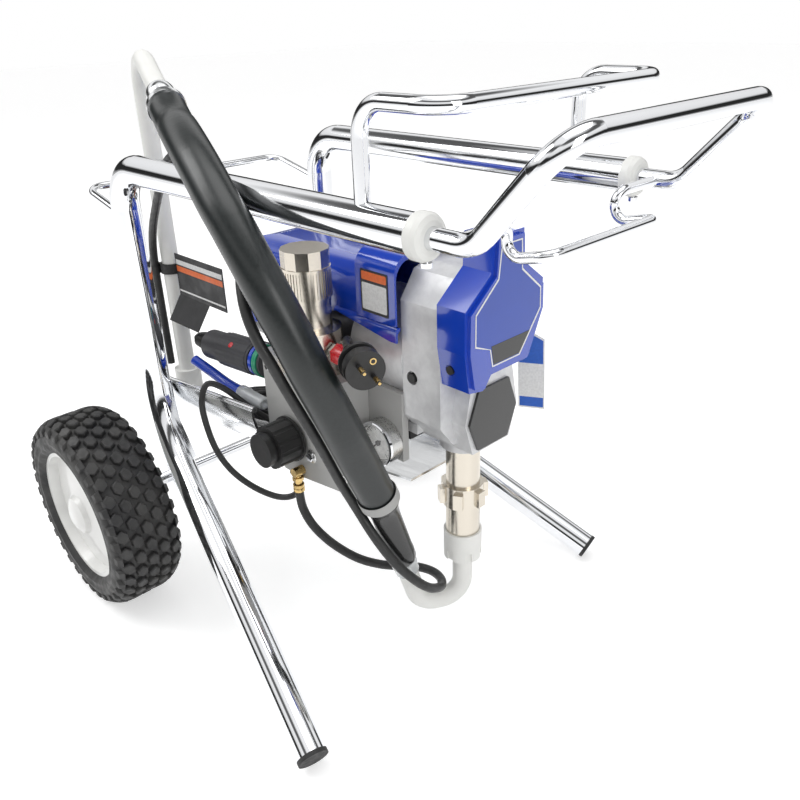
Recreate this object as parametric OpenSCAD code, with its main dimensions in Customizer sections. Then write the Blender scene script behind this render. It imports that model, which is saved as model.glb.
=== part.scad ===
// Airless paint sprayer on a two-wheeled tube cart.
// X runs forward from the wheels to the pull handle, -Y is the right-hand side, Z is up.
// Places are written from the axis of the uprights, then centred over the footprint by on_cart().

/* [Tube frame] */
// Outside diameter of the side tubes
tube_d = 35; // [34:0.5:36]
// Wall of the side tubes
tube_wall = 1.6; // [1.2:0.1:2.5]
// Height of the rail axis above the floor
rail_z = 570; // [560:1:590]
// Distance between the two rail axes
rail_gap = 302; // [300:1:306]
// Length of a rail from the upright to its collar
rail_len = 502; // [480:1:530]
// Bend radius between a rail and its upright
rail_bend_r = 50; // [45:1:70]
// Height of the corner where a leg leaves its upright
leg_corner_z = 216; // [205:1:225]
// Bend radius between an upright and its leg
leg_bend_r = 120; // [90:1:130]
// Slope of a leg below the horizontal
leg_slope = 24.2; // [22:0.1:27]
// Angle at which a leg splays outward
leg_splay = 13.6; // [10:0.1:17]
// Thickness of a foot plug's cap
plug_cap = 5; // [3:0.5:8]
// Radial clearance of sliding and turning fits
fit = 0.05; // [0.02:0.01:0.08]

/* [Pull handle] */
// Diameter of the handle bar
handle_d = 19; // [16:0.5:22]
// Length of an arm inside its rail, measured back from the collar
arm_inside = 442; // [400:1:450]
// Distance of the handle's corner in front of the collar's back face
handle_corner = 56; // [50:1:70]
// Forward reach of the raised part of the handle
handle_reach = 75; // [65:1:110]
// Rise of the grip bar above the rails
handle_rise = 83; // [60:1:110]
// Outside diameter of a collar
collar_d = 40; // [38:1:48]
// Length of a collar
collar_len = 14; // [12:1:20]
// Length of a collar's spigot inside the rail
collar_spigot = 22; // [15:1:30]
// Travel of the pull handle
handle_travel = 300; // [250:10:320]

/* [Racks and hook] */
// Diameter of the front hose rack's rod
rack_d = 14.5; // [12:0.5:18]
// Place of the rack posts along the rails
rack_x = 437; // [420:1:450]
// Height of the rack above the rail axis
rack_rise = 96; // [80:1:120]
// Forward reach of the rack
rack_reach = 91; // [70:1:110]
// Diameter of the rear hose rack's rod
rear_rack_d = 10; // [8:0.5:12]
// Drop of the rear rack's ends below the rail axis
rear_rack_drop = 62; // [56:1:80]
// Rearward reach of the rear rack from the uprights' axis
rear_rack_reach = 104; // [95:1:110]
// Diameter of the pail hook's rod
hook_d = 10; // [8:0.5:12]
// Half width of the pail hook
hook_half = 80; // [60:1:95]
// Drop of the pail hook
hook_drop = 30; // [25:1:40]

/* [Wheels] */
// Diameter of a tyre
tyre_d = 267; // [260:1:274]
// Width of a tyre
tyre_w = 91; // [80:1:92]
// Diameter of the rim that carries the tyre
rim_d = 179; // [165:1:190]
// Distance between the outer faces of the tyres
track_outer = 594; // [590:1:620]
// Place of the axle behind the uprights' axis
axle_back = 14; // [8:1:20]
// Diameter of the axle
axle_d = 16; // [12:0.5:20]

/* [Cradle] */
// Distance between the cradle's outer side faces
cradle_w = 266; // [264:1:266.6]
// Thickness of the cradle's sheet
sheet_t = 3; // [2:0.5:4]
// Corner radius of the cradle's rounded bottom
cradle_r = 75; // [60:1:90]
// Angle at which the cradle's floor rises forward
cradle_tilt = 8; // [6:0.5:10]
// Height of the cradle's lowest edge
cradle_low_z = 208; // [204:1:211]
// Diameter of the rolled rim
rim_roll_d = 8; // [6:0.5:10]
// Height of the saddle that the mounting pads stand on
saddle_z = 300; // [292:1:304]

/* [Drive] */
// Height of the motor axis
motor_z = 392; // [388:0.5:396]
// Outside diameter of the motor can
can_d = 114; // [100:1:116]
// Length of the motor can
can_len = 190; // [160:1:200]
// Outside diameter of the front bell
bell_d = 120; // [118:1:124]
// Length of the front bell
bell_len = 81; // [70:1:90]
// Back face of the drive housing
housing_x = 381; // [378:1:384]
// Depth of the drive housing
housing_len = 54; // [50:1:60]
// Width of the drive housing
housing_w = 116; // [112:1:124]
// Height of the drive housing's top face
housing_top = 500; // [499:1:506]
// Half width of the shroud over the motor
shroud_half = 62; // [61.5:0.5:66]
// Height of the shroud's top
shroud_top = 486; // [480:1:492]
// Wall of the moulded covers
cover_wall = 2.5; // [2:0.1:3]
// Depth of the front cover
cover_depth = 40; // [34:1:44]

/* [Gear train] */
// Tooth module of the pinion and the crank gear
gear_module = 1.25; // [1.25:0.01:1.26]
// Teeth of the pinion
pinion_teeth = 12; // [12:1:13]
// Teeth of the crank gear
gear_teeth = 76; // [72:4:76]
// Width of the crank gear
gear_w = 8; // [6:0.5:9]
// Backlash between the teeth
backlash = 0.3; // [0.2:0.05:0.5]
// Radius at which the crank pin turns
crank_r = 12; // [8:0.5:12]
// Diameter of the crank pin
crank_pin_d = 22; // [18:0.5:24]
// Length of the connecting rod between its pins
rod_len = 100; // [98:1:104]
// Thickness of the connecting rod
rod_t = 14; // [10:0.5:15]
// Diameter of the wrist pin
wrist_d = 8; // [6:0.5:10]

/* [Pump] */
// Distance of the pump axis in front of the housing's back face
pump_offset = 34; // [33:0.5:35]
// Outside diameter of the pump cylinder
cylinder_d = 39; // [36:0.5:42]
// Bore of the pump cylinder
bore_d = 22; // [18:0.5:26]
// Diameter of the piston rod
piston_rod_d = 16; // [12:0.5:17]
// Height of the pump cylinder's lower end
cylinder_low_z = 213; // [208:1:218]
// Height of the jam nut
jam_nut_h = 27; // [22:1:32]
// Length of the intake valve housing
intake_len = 51; // [46:1:56]
// Diameter of the intake ball
ball_d = 18; // [16:0.5:19]
// Lift of the intake ball
ball_lift = 3; // [2:0.5:4]
// Outside diameter of the inlet nut
inlet_nut_d = 45; // [44:0.5:50]

/* [Fluid section] */
// Diameter of the filter cap
cap_d = 53; // [48:1:56]
// Height of the filter cap
cap_h = 58; // [50:1:64]
// Diameter of the filter bowl
bowl_d = 48; // [44:1:50]
// Diameter of the manifold's flange
flange_d = 68; // [62:1:70]
// Width of the control box's near side
box_len = 163; // [155:1:166]
// Depth of the control box
box_depth = 40; // [38:1:42]
// Height of the control box's top face
box_top = 369; // [366:1:371]
// Height of the manifold block
manifold_h = 40; // [36:1:44]
// Diameter of the prime valve's knob
knob_d = 58; // [50:1:60]
// Length of the prime valve's knob
knob_len = 48; // [40:1:52]
// Diameter of the pressure gauge
gauge_d = 52; // [46:1:54]
// Depth of the pressure gauge
gauge_depth = 18; // [14:1:22]

/* [Hoses and cords] */
// Diameter of the black sleeve
sleeve_d = 42; // [38:1:44]
// Diameter of the sleeve's lower cuff
cuff_d = 33; // [30:1:36]
// Diameter of the suction pipes
pipe_d = 24; // [22:0.5:25]
// Bore of the suction pipes
pipe_bore = 19; // [16:0.5:20]
// Diameter of the drain hose
drain_d = 11; // [9:0.5:12]
// Diameter of the power cord
cord_d = 8; // [7:0.1:8.5]
// Mean radius of the innermost turn of the coiled cord
coil_r = 34; // [33:0.5:36]
// Turns in each layer of the coiled cord
coil_turns = 3; // [2:1:4]

/* [Hidden] */
$fn = 48;

// Frame
rail_y = rail_gap / 2;
tube_bore = tube_d - 2 * tube_wall;
weld = 0.1;
lap = 0.3;
bend_step = 0.06;
leg_dir = [cos(leg_slope) * cos(leg_splay), -cos(leg_slope) * sin(leg_splay), -sin(leg_slope)];
foot_z = tube_d / 2 * cos(leg_slope);
leg_len = (leg_corner_z - foot_z) / sin(leg_slope);
foot = [0, -rail_y, leg_corner_z] + leg_dir * leg_len;
tube_end = foot - leg_dir * plug_cap;
tube_route = [[rail_len, -rail_y, rail_z], [0, -rail_y, rail_z], [0, -rail_y, leg_corner_z], tube_end];
tube_bends = [rail_bend_r, leg_bend_r];
plug_stem = 20;
bracket_t = 6;

// Handle
collar_front = rail_len + collar_len;
screw_depth = handle_d / 2 + 0.7;
corner_x = rail_len + handle_corner;
grip_x = corner_x + handle_reach;
grip_z = rail_z + handle_rise;
arm_back = rail_len - arm_inside;
handle_bend_r = 32;
bushing_len = 20;
hook_x = corner_x - 24;
hook_reach = 42;
hook_lift = 11;

// Wheels
axle_x = -axle_back;
axle_z = tyre_d / 2;
wheel_y = (track_outer - tyre_w) / 2;
rim_web = 33.5;
hub_d = 56;
hub_in = 40;
axle_len = 2 * (wheel_y + 38);

// Placing over the footprint
x_mid = ((grip_x + handle_d / 2) + (axle_x - tyre_d / 2)) / 2;

// Cradle
cradle_x = 60;
cradle_front = 390;
rim_back = [-12, 280];
rim_front = [242, 308];
rim_y = cradle_w / 2 - 5;
near_end = 196;

// Drive
can_back = housing_x - bell_len - can_len;
bell_back = housing_x - bell_len;
bell_cap_len = 22;
bearing_d = 32;
bearing_w = 9;
shaft_d = 15;
gear_centre = gear_module * (pinion_teeth + gear_teeth) / 2;
crank_z = motor_z + gear_centre;
housing_front = housing_x + housing_len;
back_wall = 11;
gear_x = housing_x + back_wall + 2;
crank_bearing_d = 35;
crank_shaft_d = 20;
pump_x = housing_x + pump_offset;
rod_back = pump_x - rod_t / 2;
big_end_z = crank_z + crank_r;
wrist_z = big_end_z - rod_len;
housing_low = saddle_z + 10;
foot_len = 31;
cavity_r = 51;
throat_half = 29;
cavity_low = 330;
pad_h = housing_low - saddle_z;
cover_front = housing_front + cover_depth;
nose_len = 20;
nose_top = 397.7;

// Pump
socket_d = 52;
cylinder_top = housing_low - 6;
socket_low = housing_low - 20;
packing_d = 30;
packing_h = 21;
jam_low = cylinder_low_z;
intake_low = cylinder_low_z - intake_len;
intake_d = cylinder_d + 1;
chamber_z = cylinder_low_z - 29;
seat_d = 14;
ball_z = chamber_z + sqrt(pow(ball_d / 2, 2) - pow(seat_d / 2, 2)) + 0.1;
inlet_nut_low = intake_low - 24;
inlet_nut_top = intake_low + 13;
piston_z = wrist_z - 97;

// Fluid section
box_x = 182;
gauge_at = [355, 297];
gauge_side = gauge_at.x - gauge_d / 2 - 2;
box_y = -60;
box_near = box_y - box_depth;
box_low = [[206, 215], [234, 215], [box_x + box_len, 231]];
arm_y = box_y - 1;
arm_t = 9;
arm_top = 360;
switch_at = [-80, 330];
switch_pocket = 4;
// Width and height of the pocket, with room for the rocker at both ends of its travel
switch_slot = [14.6, 28.4];
filter = [277, -95];
flange_z = box_top + manifold_h;
cap_z = flange_z + 42;
knob_at = [230, 268];
barb = [243, 228];
barb_y = box_near - 8;
valve_boss = 4;

// Hoses and cords, as points along each route
ferrule = [70, -115, 638];
ferrule_gap = 0.8;
pipe_corner = [-86, -60, 702];
pipe_low = [-86, -60, 250];
ferrule_dir = (pipe_corner - ferrule) / norm(pipe_corner - ferrule);
sleeve_end = [383, -100, 246];
cuff_end = [386, -72, 154];
inlet_corners = [[388.5, -48.3, 76], [pump_x, 0, 76]];
sleeve_route = [ferrule, [112, -130, 622], [162, -154, 621.5], [218, -175, 607], [256, -186, 589],
    [283, -192, 571], [305, -194, 552], [338, -193, 512], [362, -186, 468], [378, -173, 418],
    [385, -150, 359], [384, -134, 323], [383, -117, 285], sleeve_end];
drain_route = [[243, barb_y, 211.7], [243, barb_y, 198], [248, -108, 176], [262, -104, 154], [284, -94, 134],
    [308, -77, 116], [327, -57, 105], [343, -38, 100], [361.5, -23, 100], [384, -19, 102.5], [405, -27, 107],
    [420, -44.5, 115], [424, -67, 129], [418, -85, 148], [403, -100, 172], [385, -112, 204],
    [362, -119.5, 240], [361.5, -136.5, 277], [363, -153, 315], [364, -169, 351], [363, -182, 380],
    [359, -193, 408], [353, -201, 433], [344, -207, 455], [329, -206, 477], [314, -199, 497], [300, -188, 518],
    [287, -180, 537], [272, -177, 550], [256, -177.5, 559.5], [238, -176.5, 567], [220, -175, 575],
    [200, -170.5, 583.5], [180, -166, 588.5], [160, -156.5, 594], [135, -142, 593.5], [110, -134, 591],
    [84, -128, 584], [46, -118, 567], [10, -107, 541], [-26, -98, 511], [-60, -90, 478], [-84, -83, 448],
    [-96, -79, 418], [-101, -77, 388], [-101, -77, 300], [-101, -77, 262]];
coil_at = [105, -34, 241];
coil_lean = 14;
coil_pitch = cord_d + 0.9;
coil_first = coil_point(0);
coil_last = coil_point(2 * coil_turns);
coil_path = concat([coil_first - [0, cord_d, 0]], [for (i = [0:24 * 2 * coil_turns]) coil_point(i / 24)],
    [coil_last + [0, cord_d, 0]]);
coil_start = from_coil(coil_path[0]);
coil_finish = from_coil(coil_path[len(coil_path) - 1]);
// Least gap between turns of the coil that lie next to or on each other
coil_gaps = [for (i = [0:len(coil_path) - 1], j = [i + 12:len(coil_path) - 1]) norm(coil_path[i] - coil_path[j]) - cord_d];
echo(coil_least_gap = min(coil_gaps));
gland = [222, -92, box_low[0].y];
gland_len = 14;
cord_route = [[222, -92, 203], [222, -93, 190], [214, -98, 176], [196, -110, 172], [170, -126, 182],
    [145, -140, 202], [125, -147, 228], [112, -149, 262], [106, -147, 292], [106, -136, 312],
    [118, -120, 304], [142, -102, 280], [163, -78, 255], [165.6, -58, 247], coil_start];
connector = [[22, -72, 324], [148, -66, 331]];
connector_d = 44;
connector_tail = 34;
connector_axis = (connector[1] - connector[0]) / norm(connector[1] - connector[0]);
connector_back = connector[0] - connector_axis * connector_tail;
lead_route = [coil_finish, [165, -14, 246], [156, 12, 248], [128, 34, 260], [80, 40, 276], [24, 22, 292],
    [-18, -16, 306], [-34, -52, 317], [-24, -70, 321], connector_back];
plug_tail = [367, -118, 426];
plug_route = [[316, -72, 383], [318.5, -75, 401], [325, -82.5, 413], [334.5, -92, 420.5], [345.5, -103, 424.5],
    [357, -112, 426], plug_tail];
plug_dir = [0.914, -0.402, -0.02];
plug_d = 40;
relief_len = 24;
plug_face = 54;
pin_d = 4.8;
pin_len = 19;
pin_gap = 19;
blue_route = [[8, -96, 304], [40, -90, 293], [70, -86, 284], [100, -84, 281]];
blue_end = [150, -83, 279];
blue_d = 14;
strap_dir = unit(sleeve_end - sleeve_route[12]);
card_t = 1.2;

function unit(v) = v / norm(v);
function polar(r, a) = [r * cos(a), r * sin(a)];

// Smooth curve through hand-placed points, as positions along a Catmull-Rom spline
function spline_at(p, i, t) =
    let (a = p[max(i - 1, 0)], b = p[i], c = p[i + 1], d = p[min(i + 2, len(p) - 1)])
    0.5 * (2 * b + (c - a) * t + (2 * a - 5 * b + 4 * c - d) * t * t + (3 * b - a - 3 * c + d) * t * t * t);
function spline(p, steps) =
    [for (i = [0:len(p) - 2], k = [0:steps - 1]) spline_at(p, i, k / steps), p[len(p) - 1]];

// Direction of a path at point i
function heading(p, i) = unit(p[min(i + 1, len(p) - 1)] - p[max(i - 1, 0)]);

// Frames carried along a path without twist, as a list of side vectors
function carry(v, t) = unit(v - t * (v * t));
function sides(p, i, v) =
    i == len(p) ? [] : let (s = carry(v, heading(p, i))) concat([s], sides(p, i + 1, s));
function any_side(t) = abs(t.z) < 0.8 ? cross(t, [0, 0, 1]) : cross(t, [0, 1, 0]);

// Tube swept along a path as one closed polyhedron
module swept(path, d, n) {
    across = sides(path, 0, any_side(heading(path, 0)));
    rings = [for (i = [0:len(path) - 1], k = [0:n - 1])
        let (s = across[i], u = cross(heading(path, i), s), a = 360 * k / n)
        path[i] + (s * cos(a) + u * sin(a)) * d / 2];
    last = (len(path) - 1) * n;
    faces = concat(
        [for (i = [0:len(path) - 2], k = [0:n - 1]) let (a = i * n + k, b = i * n + (k + 1) % n) [a, a + n, b]],
        [for (i = [0:len(path) - 2], k = [0:n - 1]) let (a = i * n + k, b = i * n + (k + 1) % n) [b, a + n, b + n]],
        [for (k = [1:n - 2]) [0, k, k + 1]],
        [for (k = [1:n - 2]) [last, last + k + 1, last + k]]);
    polyhedron(rings, faces);
}

// Moves the model from the uprights' axis to the middle of its footprint
module on_cart() {
    translate([-x_mid, 0, 0]) children();
}

// Turns a cylinder that stands on a point so that it runs along a direction
module along(p, v) {
    translate(p) rotate([0, acos(v.z / norm(v)), atan2(v.y, v.x)]) children();
}

// Straight round bar between two points
module bar(a, b, d) {
    along(a, b - a) cylinder(h = norm(b - a), d = d);
}

// Round bend at corner p, from direction u to direction v; it laps a hair inside the straight bars
module bend(p, u, v, r, d) {
    turn = acos(u * v);
    past = lap / r * 180 / PI;
    n = unit(cross(u, v));
    e = cross(u, n);
    c = p - u * r * tan(turn / 2) - e * r;
    multmatrix([[e.x, u.x, n.x, c.x], [e.y, u.y, n.y, c.y], [e.z, u.z, n.z, c.z], [0, 0, 0, 1]])
        rotate(-past) rotate_extrude(angle = turn + 2 * past) translate([r, 0]) circle(d = d - 2 * bend_step);
}

// Round bar through corner points, each inner corner rounded to its own radius
module bent_bar(pts, radii, d) {
    n = len(pts) - 1;
    dirs = [for (i = [0:n - 1]) unit(pts[i + 1] - pts[i])];
    setback = [0, for (i = [1:n - 1]) radii[i - 1] * tan(acos(dirs[i - 1] * dirs[i]) / 2), 0];
    for (i = [0:n - 1]) bar(pts[i] + dirs[i] * setback[i], pts[i + 1] - dirs[i] * setback[i + 1], d);
    for (i = [1:n - 1]) bend(pts[i], dirs[i - 1], dirs[i], radii[i - 1], d);
}

// Mirrors its children to the left side when s is 1
module to_side(s) {
    if (s > 0) mirror([0, 1, 0]) children();
    else children();
}

// ---------- Tube frame ----------

module tube_solid(d, past) {
    ends = [tube_route[0] + [past, 0, 0], tube_route[1], tube_route[2], tube_end + leg_dir * past];
    bent_bar(ends, tube_bends, d);
}

// Welded plate that hangs the axle under the leg bend
module axle_bracket() {
    translate([0, -rail_y + bracket_t / 2, 0]) rotate([90, 0, 0]) linear_extrude(bracket_t) difference() {
        union() {
            polygon([[axle_x + 18, axle_z - 6], [70, leg_corner_z - 18], [4, leg_corner_z + 80],
                [axle_x - 14, leg_corner_z + 70], [axle_x - 18, axle_z + 4]]);
            translate([axle_x, axle_z]) circle(d = axle_d + 24);
        }
        translate([axle_x, axle_z]) circle(d = axle_d + 2 * fit);
    }
}

module side_tube(s) {
    on_cart() to_side(s) color("silver") difference() {
        union() {
            tube_solid(tube_d, 0);
            axle_bracket();
        }
        tube_solid(tube_bore, 1);
    }
}

module side_tube_right() side_tube(-1);

module side_tube_left() side_tube(1);

module foot_plugs() {
    for (s = [-1, 1]) on_cart() to_side(s) color([0.1, 0.1, 0.1]) {
        along(tube_end, leg_dir) cylinder(h = plug_cap, d = tube_d);
        along(tube_end - leg_dir * plug_stem, leg_dir) cylinder(h = plug_stem, d = tube_bore - 2 * fit);
    }
}

module handle_collars() {
    for (s = [-1, 1]) on_cart() to_side(s) color("white") translate([0, -rail_y, rail_z]) rotate([0, 90, 0])
        difference() {
            union() {
                translate([0, 0, rail_len]) rotate_extrude() polygon([[0, 0], [collar_d / 2, 0],
                    [collar_d / 2, collar_len - 6], [collar_d / 2 - 2, collar_len - 2],
                    [collar_d / 2 - 6, collar_len], [0, collar_len]]);
                translate([0, 0, rail_len - collar_spigot]) cylinder(h = collar_spigot, d = tube_bore - 2 * fit);
            }
            translate([0, 0, rail_len - collar_spigot - 1])
                cylinder(h = collar_spigot + collar_len + 2, d = handle_d + 2 * fit);
            translate([screw_depth - 0.2, 0, rail_len + collar_len / 2]) rotate([0, 90, 0])
                cylinder(h = collar_d / 2, d = 5 + 2 * fit);
        }
}

module collar_screws() {
    for (s = [-1, 1]) on_cart() to_side(s) color("silver")
        translate([rail_len + collar_len / 2, -rail_y, rail_z]) rotate([180, 0, 0]) {
            translate([0, 0, screw_depth]) cylinder(h = collar_d / 2 - screw_depth + 1, d = 5);
            translate([0, 0, collar_d / 2 + 0.1]) cylinder(h = 4, d = 10);
        }
}

// ---------- Cradle ----------

// U-shaped channel section of the cradle, w wide outside, as a 2D shape standing on z = 0
module trough_section(w, r, h) {
    union() {
        for (s = [-1, 1]) translate([s * (w / 2 - r), r]) circle(r = r);
        translate([-w / 2 + r, 0]) square([w - 2 * r, h]);
        translate([-w / 2, r]) square([w, h - r]);
    }
}

module in_cradle() {
    translate([cradle_x, 0, cradle_low_z]) rotate([0, -cradle_tilt, 0]) children();
}

module trough(inset) {
    in_cradle() translate([-90, 0, inset]) rotate([90, 0, 90])
        linear_extrude(440) trough_section(cradle_w - 2 * inset, cradle_r - inset, 160);
}

// Side outline of the cradle, between its rolled rim and its floor
module cradle_outline() {
    polygon([[-12, 252], [2, 238], [cradle_x, cradle_low_z], [cradle_x, 180], [270, 200], [cradle_front, 240],
        [cradle_front, 274], [300, 262], [256, 300], rim_front, rim_back]);
}

// Rolled rim along one side, up to x = end
module rim_roll(s, end) {
    top = rim_back.y + (rim_front.y - rim_back.y) * (end - rim_back.x) / (rim_front.x - rim_back.x);
    bar([rim_back.x, s * rim_y, rim_back.y], [end, s * rim_y, top], rim_roll_d);
}

module cradle() {
    on_cart() color("gainsboro") {
        difference() {
            intersection() {
                difference() {
                    trough(0);
                    trough(sheet_t);
                }
                translate([0, cradle_w, 0]) rotate([90, 0, 0]) linear_extrude(2 * cradle_w) cradle_outline();
            }
            // The near side stops short of the valve knob and makes room for the control box
            translate([near_end, -cradle_w, 150]) cube([300, cradle_w + box_y + 1, 250]);
            translate([box_x - 3, box_near - 8, 150]) cube([250, box_y + 1 - box_near + 8, 250]);
        }
        rim_roll(-1, near_end);
        rim_roll(1, rim_front.x);
        saddle();
    }
}

// Folded saddle at the front of the cradle's floor
module saddle() {
    difference() {
        translate([housing_x - foot_len - 1, -48, 240]) cube([cradle_front - housing_x + foot_len + 1, 96, saddle_z - 240]);
        translate([housing_x - foot_len - 2, -48 + sheet_t, 200])
            cube([cradle_front - housing_x + foot_len + 4, 96 - 2 * sheet_t, saddle_z - sheet_t - 200]);
        trough(0);
        in_cradle() translate([0, -200, -100]) cube([500, 400, 100]);
    }
}

// ---------- Wheels ----------

module axle() {
    on_cart() color("silver") translate([axle_x, 0, axle_z]) rotate([90, 0, 0])
        cylinder(h = axle_len, d = axle_d, center = true);
}

module wheel_at(s) {
    on_cart() translate([axle_x, s * wheel_y, axle_z]) rotate([s < 0 ? 90 : -90, 0, 0]) children();
}

module tyre(s) {
    half = tyre_w / 2;
    r = tyre_d / 2;
    wheel_at(s) color([0.13, 0.13, 0.13]) rotate_extrude() polygon([[rim_d / 2, -half + 8],
        [rim_d / 2 + 8, -half + 2], [r - 24, -half], [r - 12, -half + 4], [r - 4, -half + 12],
        [r, -half + 24], [r, half - 24], [r - 4, half - 12], [r - 12, half - 4], [r - 24, half],
        [rim_d / 2 + 8, half - 2], [rim_d / 2, half - 8]]);
}

module tyre_right() tyre(-1);

module tyre_left() tyre(1);

module rim(s) {
    bore = axle_d / 2 + fit;
    r = rim_d / 2;
    wheel_at(s) color("white") rotate_extrude() polygon([[bore, -hub_in], [18, -hub_in], [20, rim_web - 12],
        [r - 10, rim_web - 18], [r - 6, -38], [r, -38], [r, 38], [r - 5, 38], [r - 9, rim_web - 8],
        [hub_d / 2 + 14, rim_web - 3], [hub_d / 2, rim_web], [hub_d / 2 - 3, rim_web + 6],
        [hub_d / 2 - 12, rim_web + 10], [10, rim_web + 11.5], [0, rim_web + 11.5], [0, rim_web + 8],
        [bore, rim_web + 8]]);
}

module rim_right() rim(-1);

module rim_left() rim(1);

// ---------- Racks and pull handle ----------

module rails_cut(clear) {
    for (s = [-1, 1]) to_side(s) tube_solid(tube_d + 2 * clear, 0);
}

module front_hose_rack() {
    top = rail_z + rack_rise;
    front = rack_x + rack_reach;
    on_cart() color("silver") difference() {
        bent_bar([[rack_x, -rail_y, rail_z], [rack_x, -rail_y, top], [front, -rail_y, top], [front, rail_y, top],
            [rack_x, rail_y, top], [rack_x, rail_y, rail_z]], [28, 28, 28, 28], rack_d);
        rails_cut(weld);
    }
}

module rear_hose_rack() {
    low = rail_z - rear_rack_drop;
    back = -rear_rack_reach;
    on_cart() color("silver") difference() {
        bent_bar([[-5, -rail_y, low], [back, -rail_y, low + 23], [back, rail_y, low + 23], [-5, rail_y, low]],
            [22, 22], rear_rack_d);
        rails_cut(weld);
    }
}

module pull_handle() {
    hook_top = [hook_x, hook_half, rail_z];
    hook_low = [hook_x - 6, hook_half, rail_z - hook_drop];
    hook_out = [hook_x + hook_reach, hook_half, rail_z - hook_drop + hook_lift];
    on_cart() color("silver") {
        bent_bar([[arm_back, -rail_y, rail_z], [corner_x, -rail_y, rail_z], [grip_x, -rail_y, grip_z],
            [grip_x, rail_y, grip_z], [corner_x, rail_y, rail_z], [arm_back, rail_y, rail_z]],
            [handle_bend_r, handle_bend_r, handle_bend_r, handle_bend_r], handle_d);
        bent_bar([[hook_x, -rail_y, rail_z], [hook_x, -hook_top.y, rail_z], [hook_low.x, -hook_half, hook_low.z],
            [hook_out.x, -hook_half, hook_out.z], hook_out, hook_low, hook_top, [hook_x, rail_y, rail_z]],
            [13, 13, 13, 13, 13, 13], hook_d);
    }
}

module handle_bushings() {
    for (s = [-1, 1]) on_cart() color("white") translate([arm_back, s * rail_y, rail_z]) rotate([0, 90, 0])
        difference() {
            cylinder(h = bushing_len, d = tube_bore - 2 * fit);
            translate([0, 0, -1]) cylinder(h = bushing_len + 2, d = handle_d);
        }
}

// ---------- Motor ----------

module on_motor(x) {
    on_cart() translate([x, 0, motor_z]) rotate([0, 90, 0]) children();
}

module mount_pads() {
    on_cart() color([0.1, 0.1, 0.1]) for (y = [-48, 20])
        translate([housing_x - foot_len, y, saddle_z]) cube([foot_len - 1, 28, pad_h]);
}

module motor_can() {
    on_motor(can_back) color([0.3, 0.3, 0.32]) difference() {
        cylinder(h = can_len, d = can_d);
        translate([0, 0, -1]) cylinder(h = can_len + 2, d = can_d - 24);
    }
}

module front_bell() {
    color("lightgray") difference() {
        on_motor(bell_back) difference() {
            union() {
                cylinder(h = bell_len, d = bell_d);
                translate([0, 0, -8]) cylinder(h = 8, d = can_d - 24 - 2 * fit);
            }
            translate([0, 0, -9]) cylinder(h = bell_len + 9 - 14, d = can_d - 34);
            translate([0, 0, bell_len - bearing_w]) cylinder(h = bearing_w + 1, d = bearing_d + 2 * fit);
            cylinder(h = bell_len + 1, d = shaft_d + 4);
        }
        bell_window();
    }
}

// Arched air window in the near side of the front bell
module bell_window() {
    on_cart() translate([bell_back + 18, -20, motor_z - 66]) rotate([90, 0, 0]) linear_extrude(60) {
        translate([0, 0]) square([32, 20]);
        translate([16, 20]) circle(d = 32);
    }
}

module rear_bell() {
    on_motor(can_back - bell_cap_len) color("lightgray") difference() {
        union() {
            cylinder(h = bell_cap_len, d = can_d);
            cylinder(h = bell_cap_len + 8, d = can_d - 24 - 2 * fit);
        }
        translate([0, 0, bearing_w + 4]) cylinder(h = bell_cap_len, d = can_d - 34);
        translate([0, 0, 4]) cylinder(h = bell_cap_len, d = bearing_d + 2 * fit);
        translate([0, 0, -1]) cylinder(h = bell_cap_len, d = shaft_d + 4);
    }
}

// Involute half thickness of a tooth, as the angle swept from the base circle to radius r
function involute(rb, r) = let (a = sqrt(pow(r / rb, 2) - 1)) a * 180 / PI - atan(a);

// Outline of a spur gear with involute flanks
function gear_outline(teeth) =
    let (rp = gear_module * teeth / 2, rb = rp * cos(20), tip = rp + 0.8 * gear_module,
        root = rp - 1.15 * gear_module, start = max(rb, root),
        half = 90 / teeth + involute(rb, rp) - backlash / 2 / rp * 90 / PI,
        rs = [for (k = [0:2]) start + (tip - start) * k / 2])
    [for (i = [0:teeth - 1]) let (c = 360 * i / teeth) each concat(
        [polar(root, c - half + involute(rb, start))],
        [for (k = [0:2]) polar(rs[k], c - half + involute(rb, rs[k]))],
        [for (k = [2:-1:0]) polar(rs[k], c + half - involute(rb, rs[k]))],
        [polar(root, c + half - involute(rb, start))])];

// Shaft, armature, commutator, fan and pinion, which turn as one
module rotor() {
    fan_blades = 9;
    fan_len = 10;
    fan_x = can_back - bell_cap_len - fan_len - 1;
    color([0.75, 0.5, 0.25]) {
        on_motor(fan_x - 4) cylinder(h = housing_x - fan_x + 4 + back_wall + 12, d = shaft_d - 4);
        on_motor(can_back - bell_cap_len + 4) cylinder(h = bell_cap_len + can_len + bell_len - 4, d = shaft_d);
        on_motor(can_back + 30) cylinder(h = can_len - 70, d = 70);
        on_motor(can_back + can_len - 40) cylinder(h = 32, d = 36);
        on_motor(fan_x) {
            cylinder(h = fan_len, d = 26);
            cylinder(h = 2, d = 84);
            for (i = [0:fan_blades - 1]) rotate(i * 360 / fan_blades) translate([10, -1, 0]) cube([31, 2, fan_len]);
        }
        on_motor(gear_x - 1) rotate(90) linear_extrude(gear_w + 2) polygon(gear_outline(pinion_teeth));
    }
}

module bearing_ring(x, z, outer, inner, w) {
    on_cart() translate([x, 0, z]) rotate([0, 90, 0]) difference() {
        cylinder(h = w, d = outer);
        translate([0, 0, -1]) cylinder(h = w + 2, d = inner + 2 * fit);
    }
}

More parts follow.
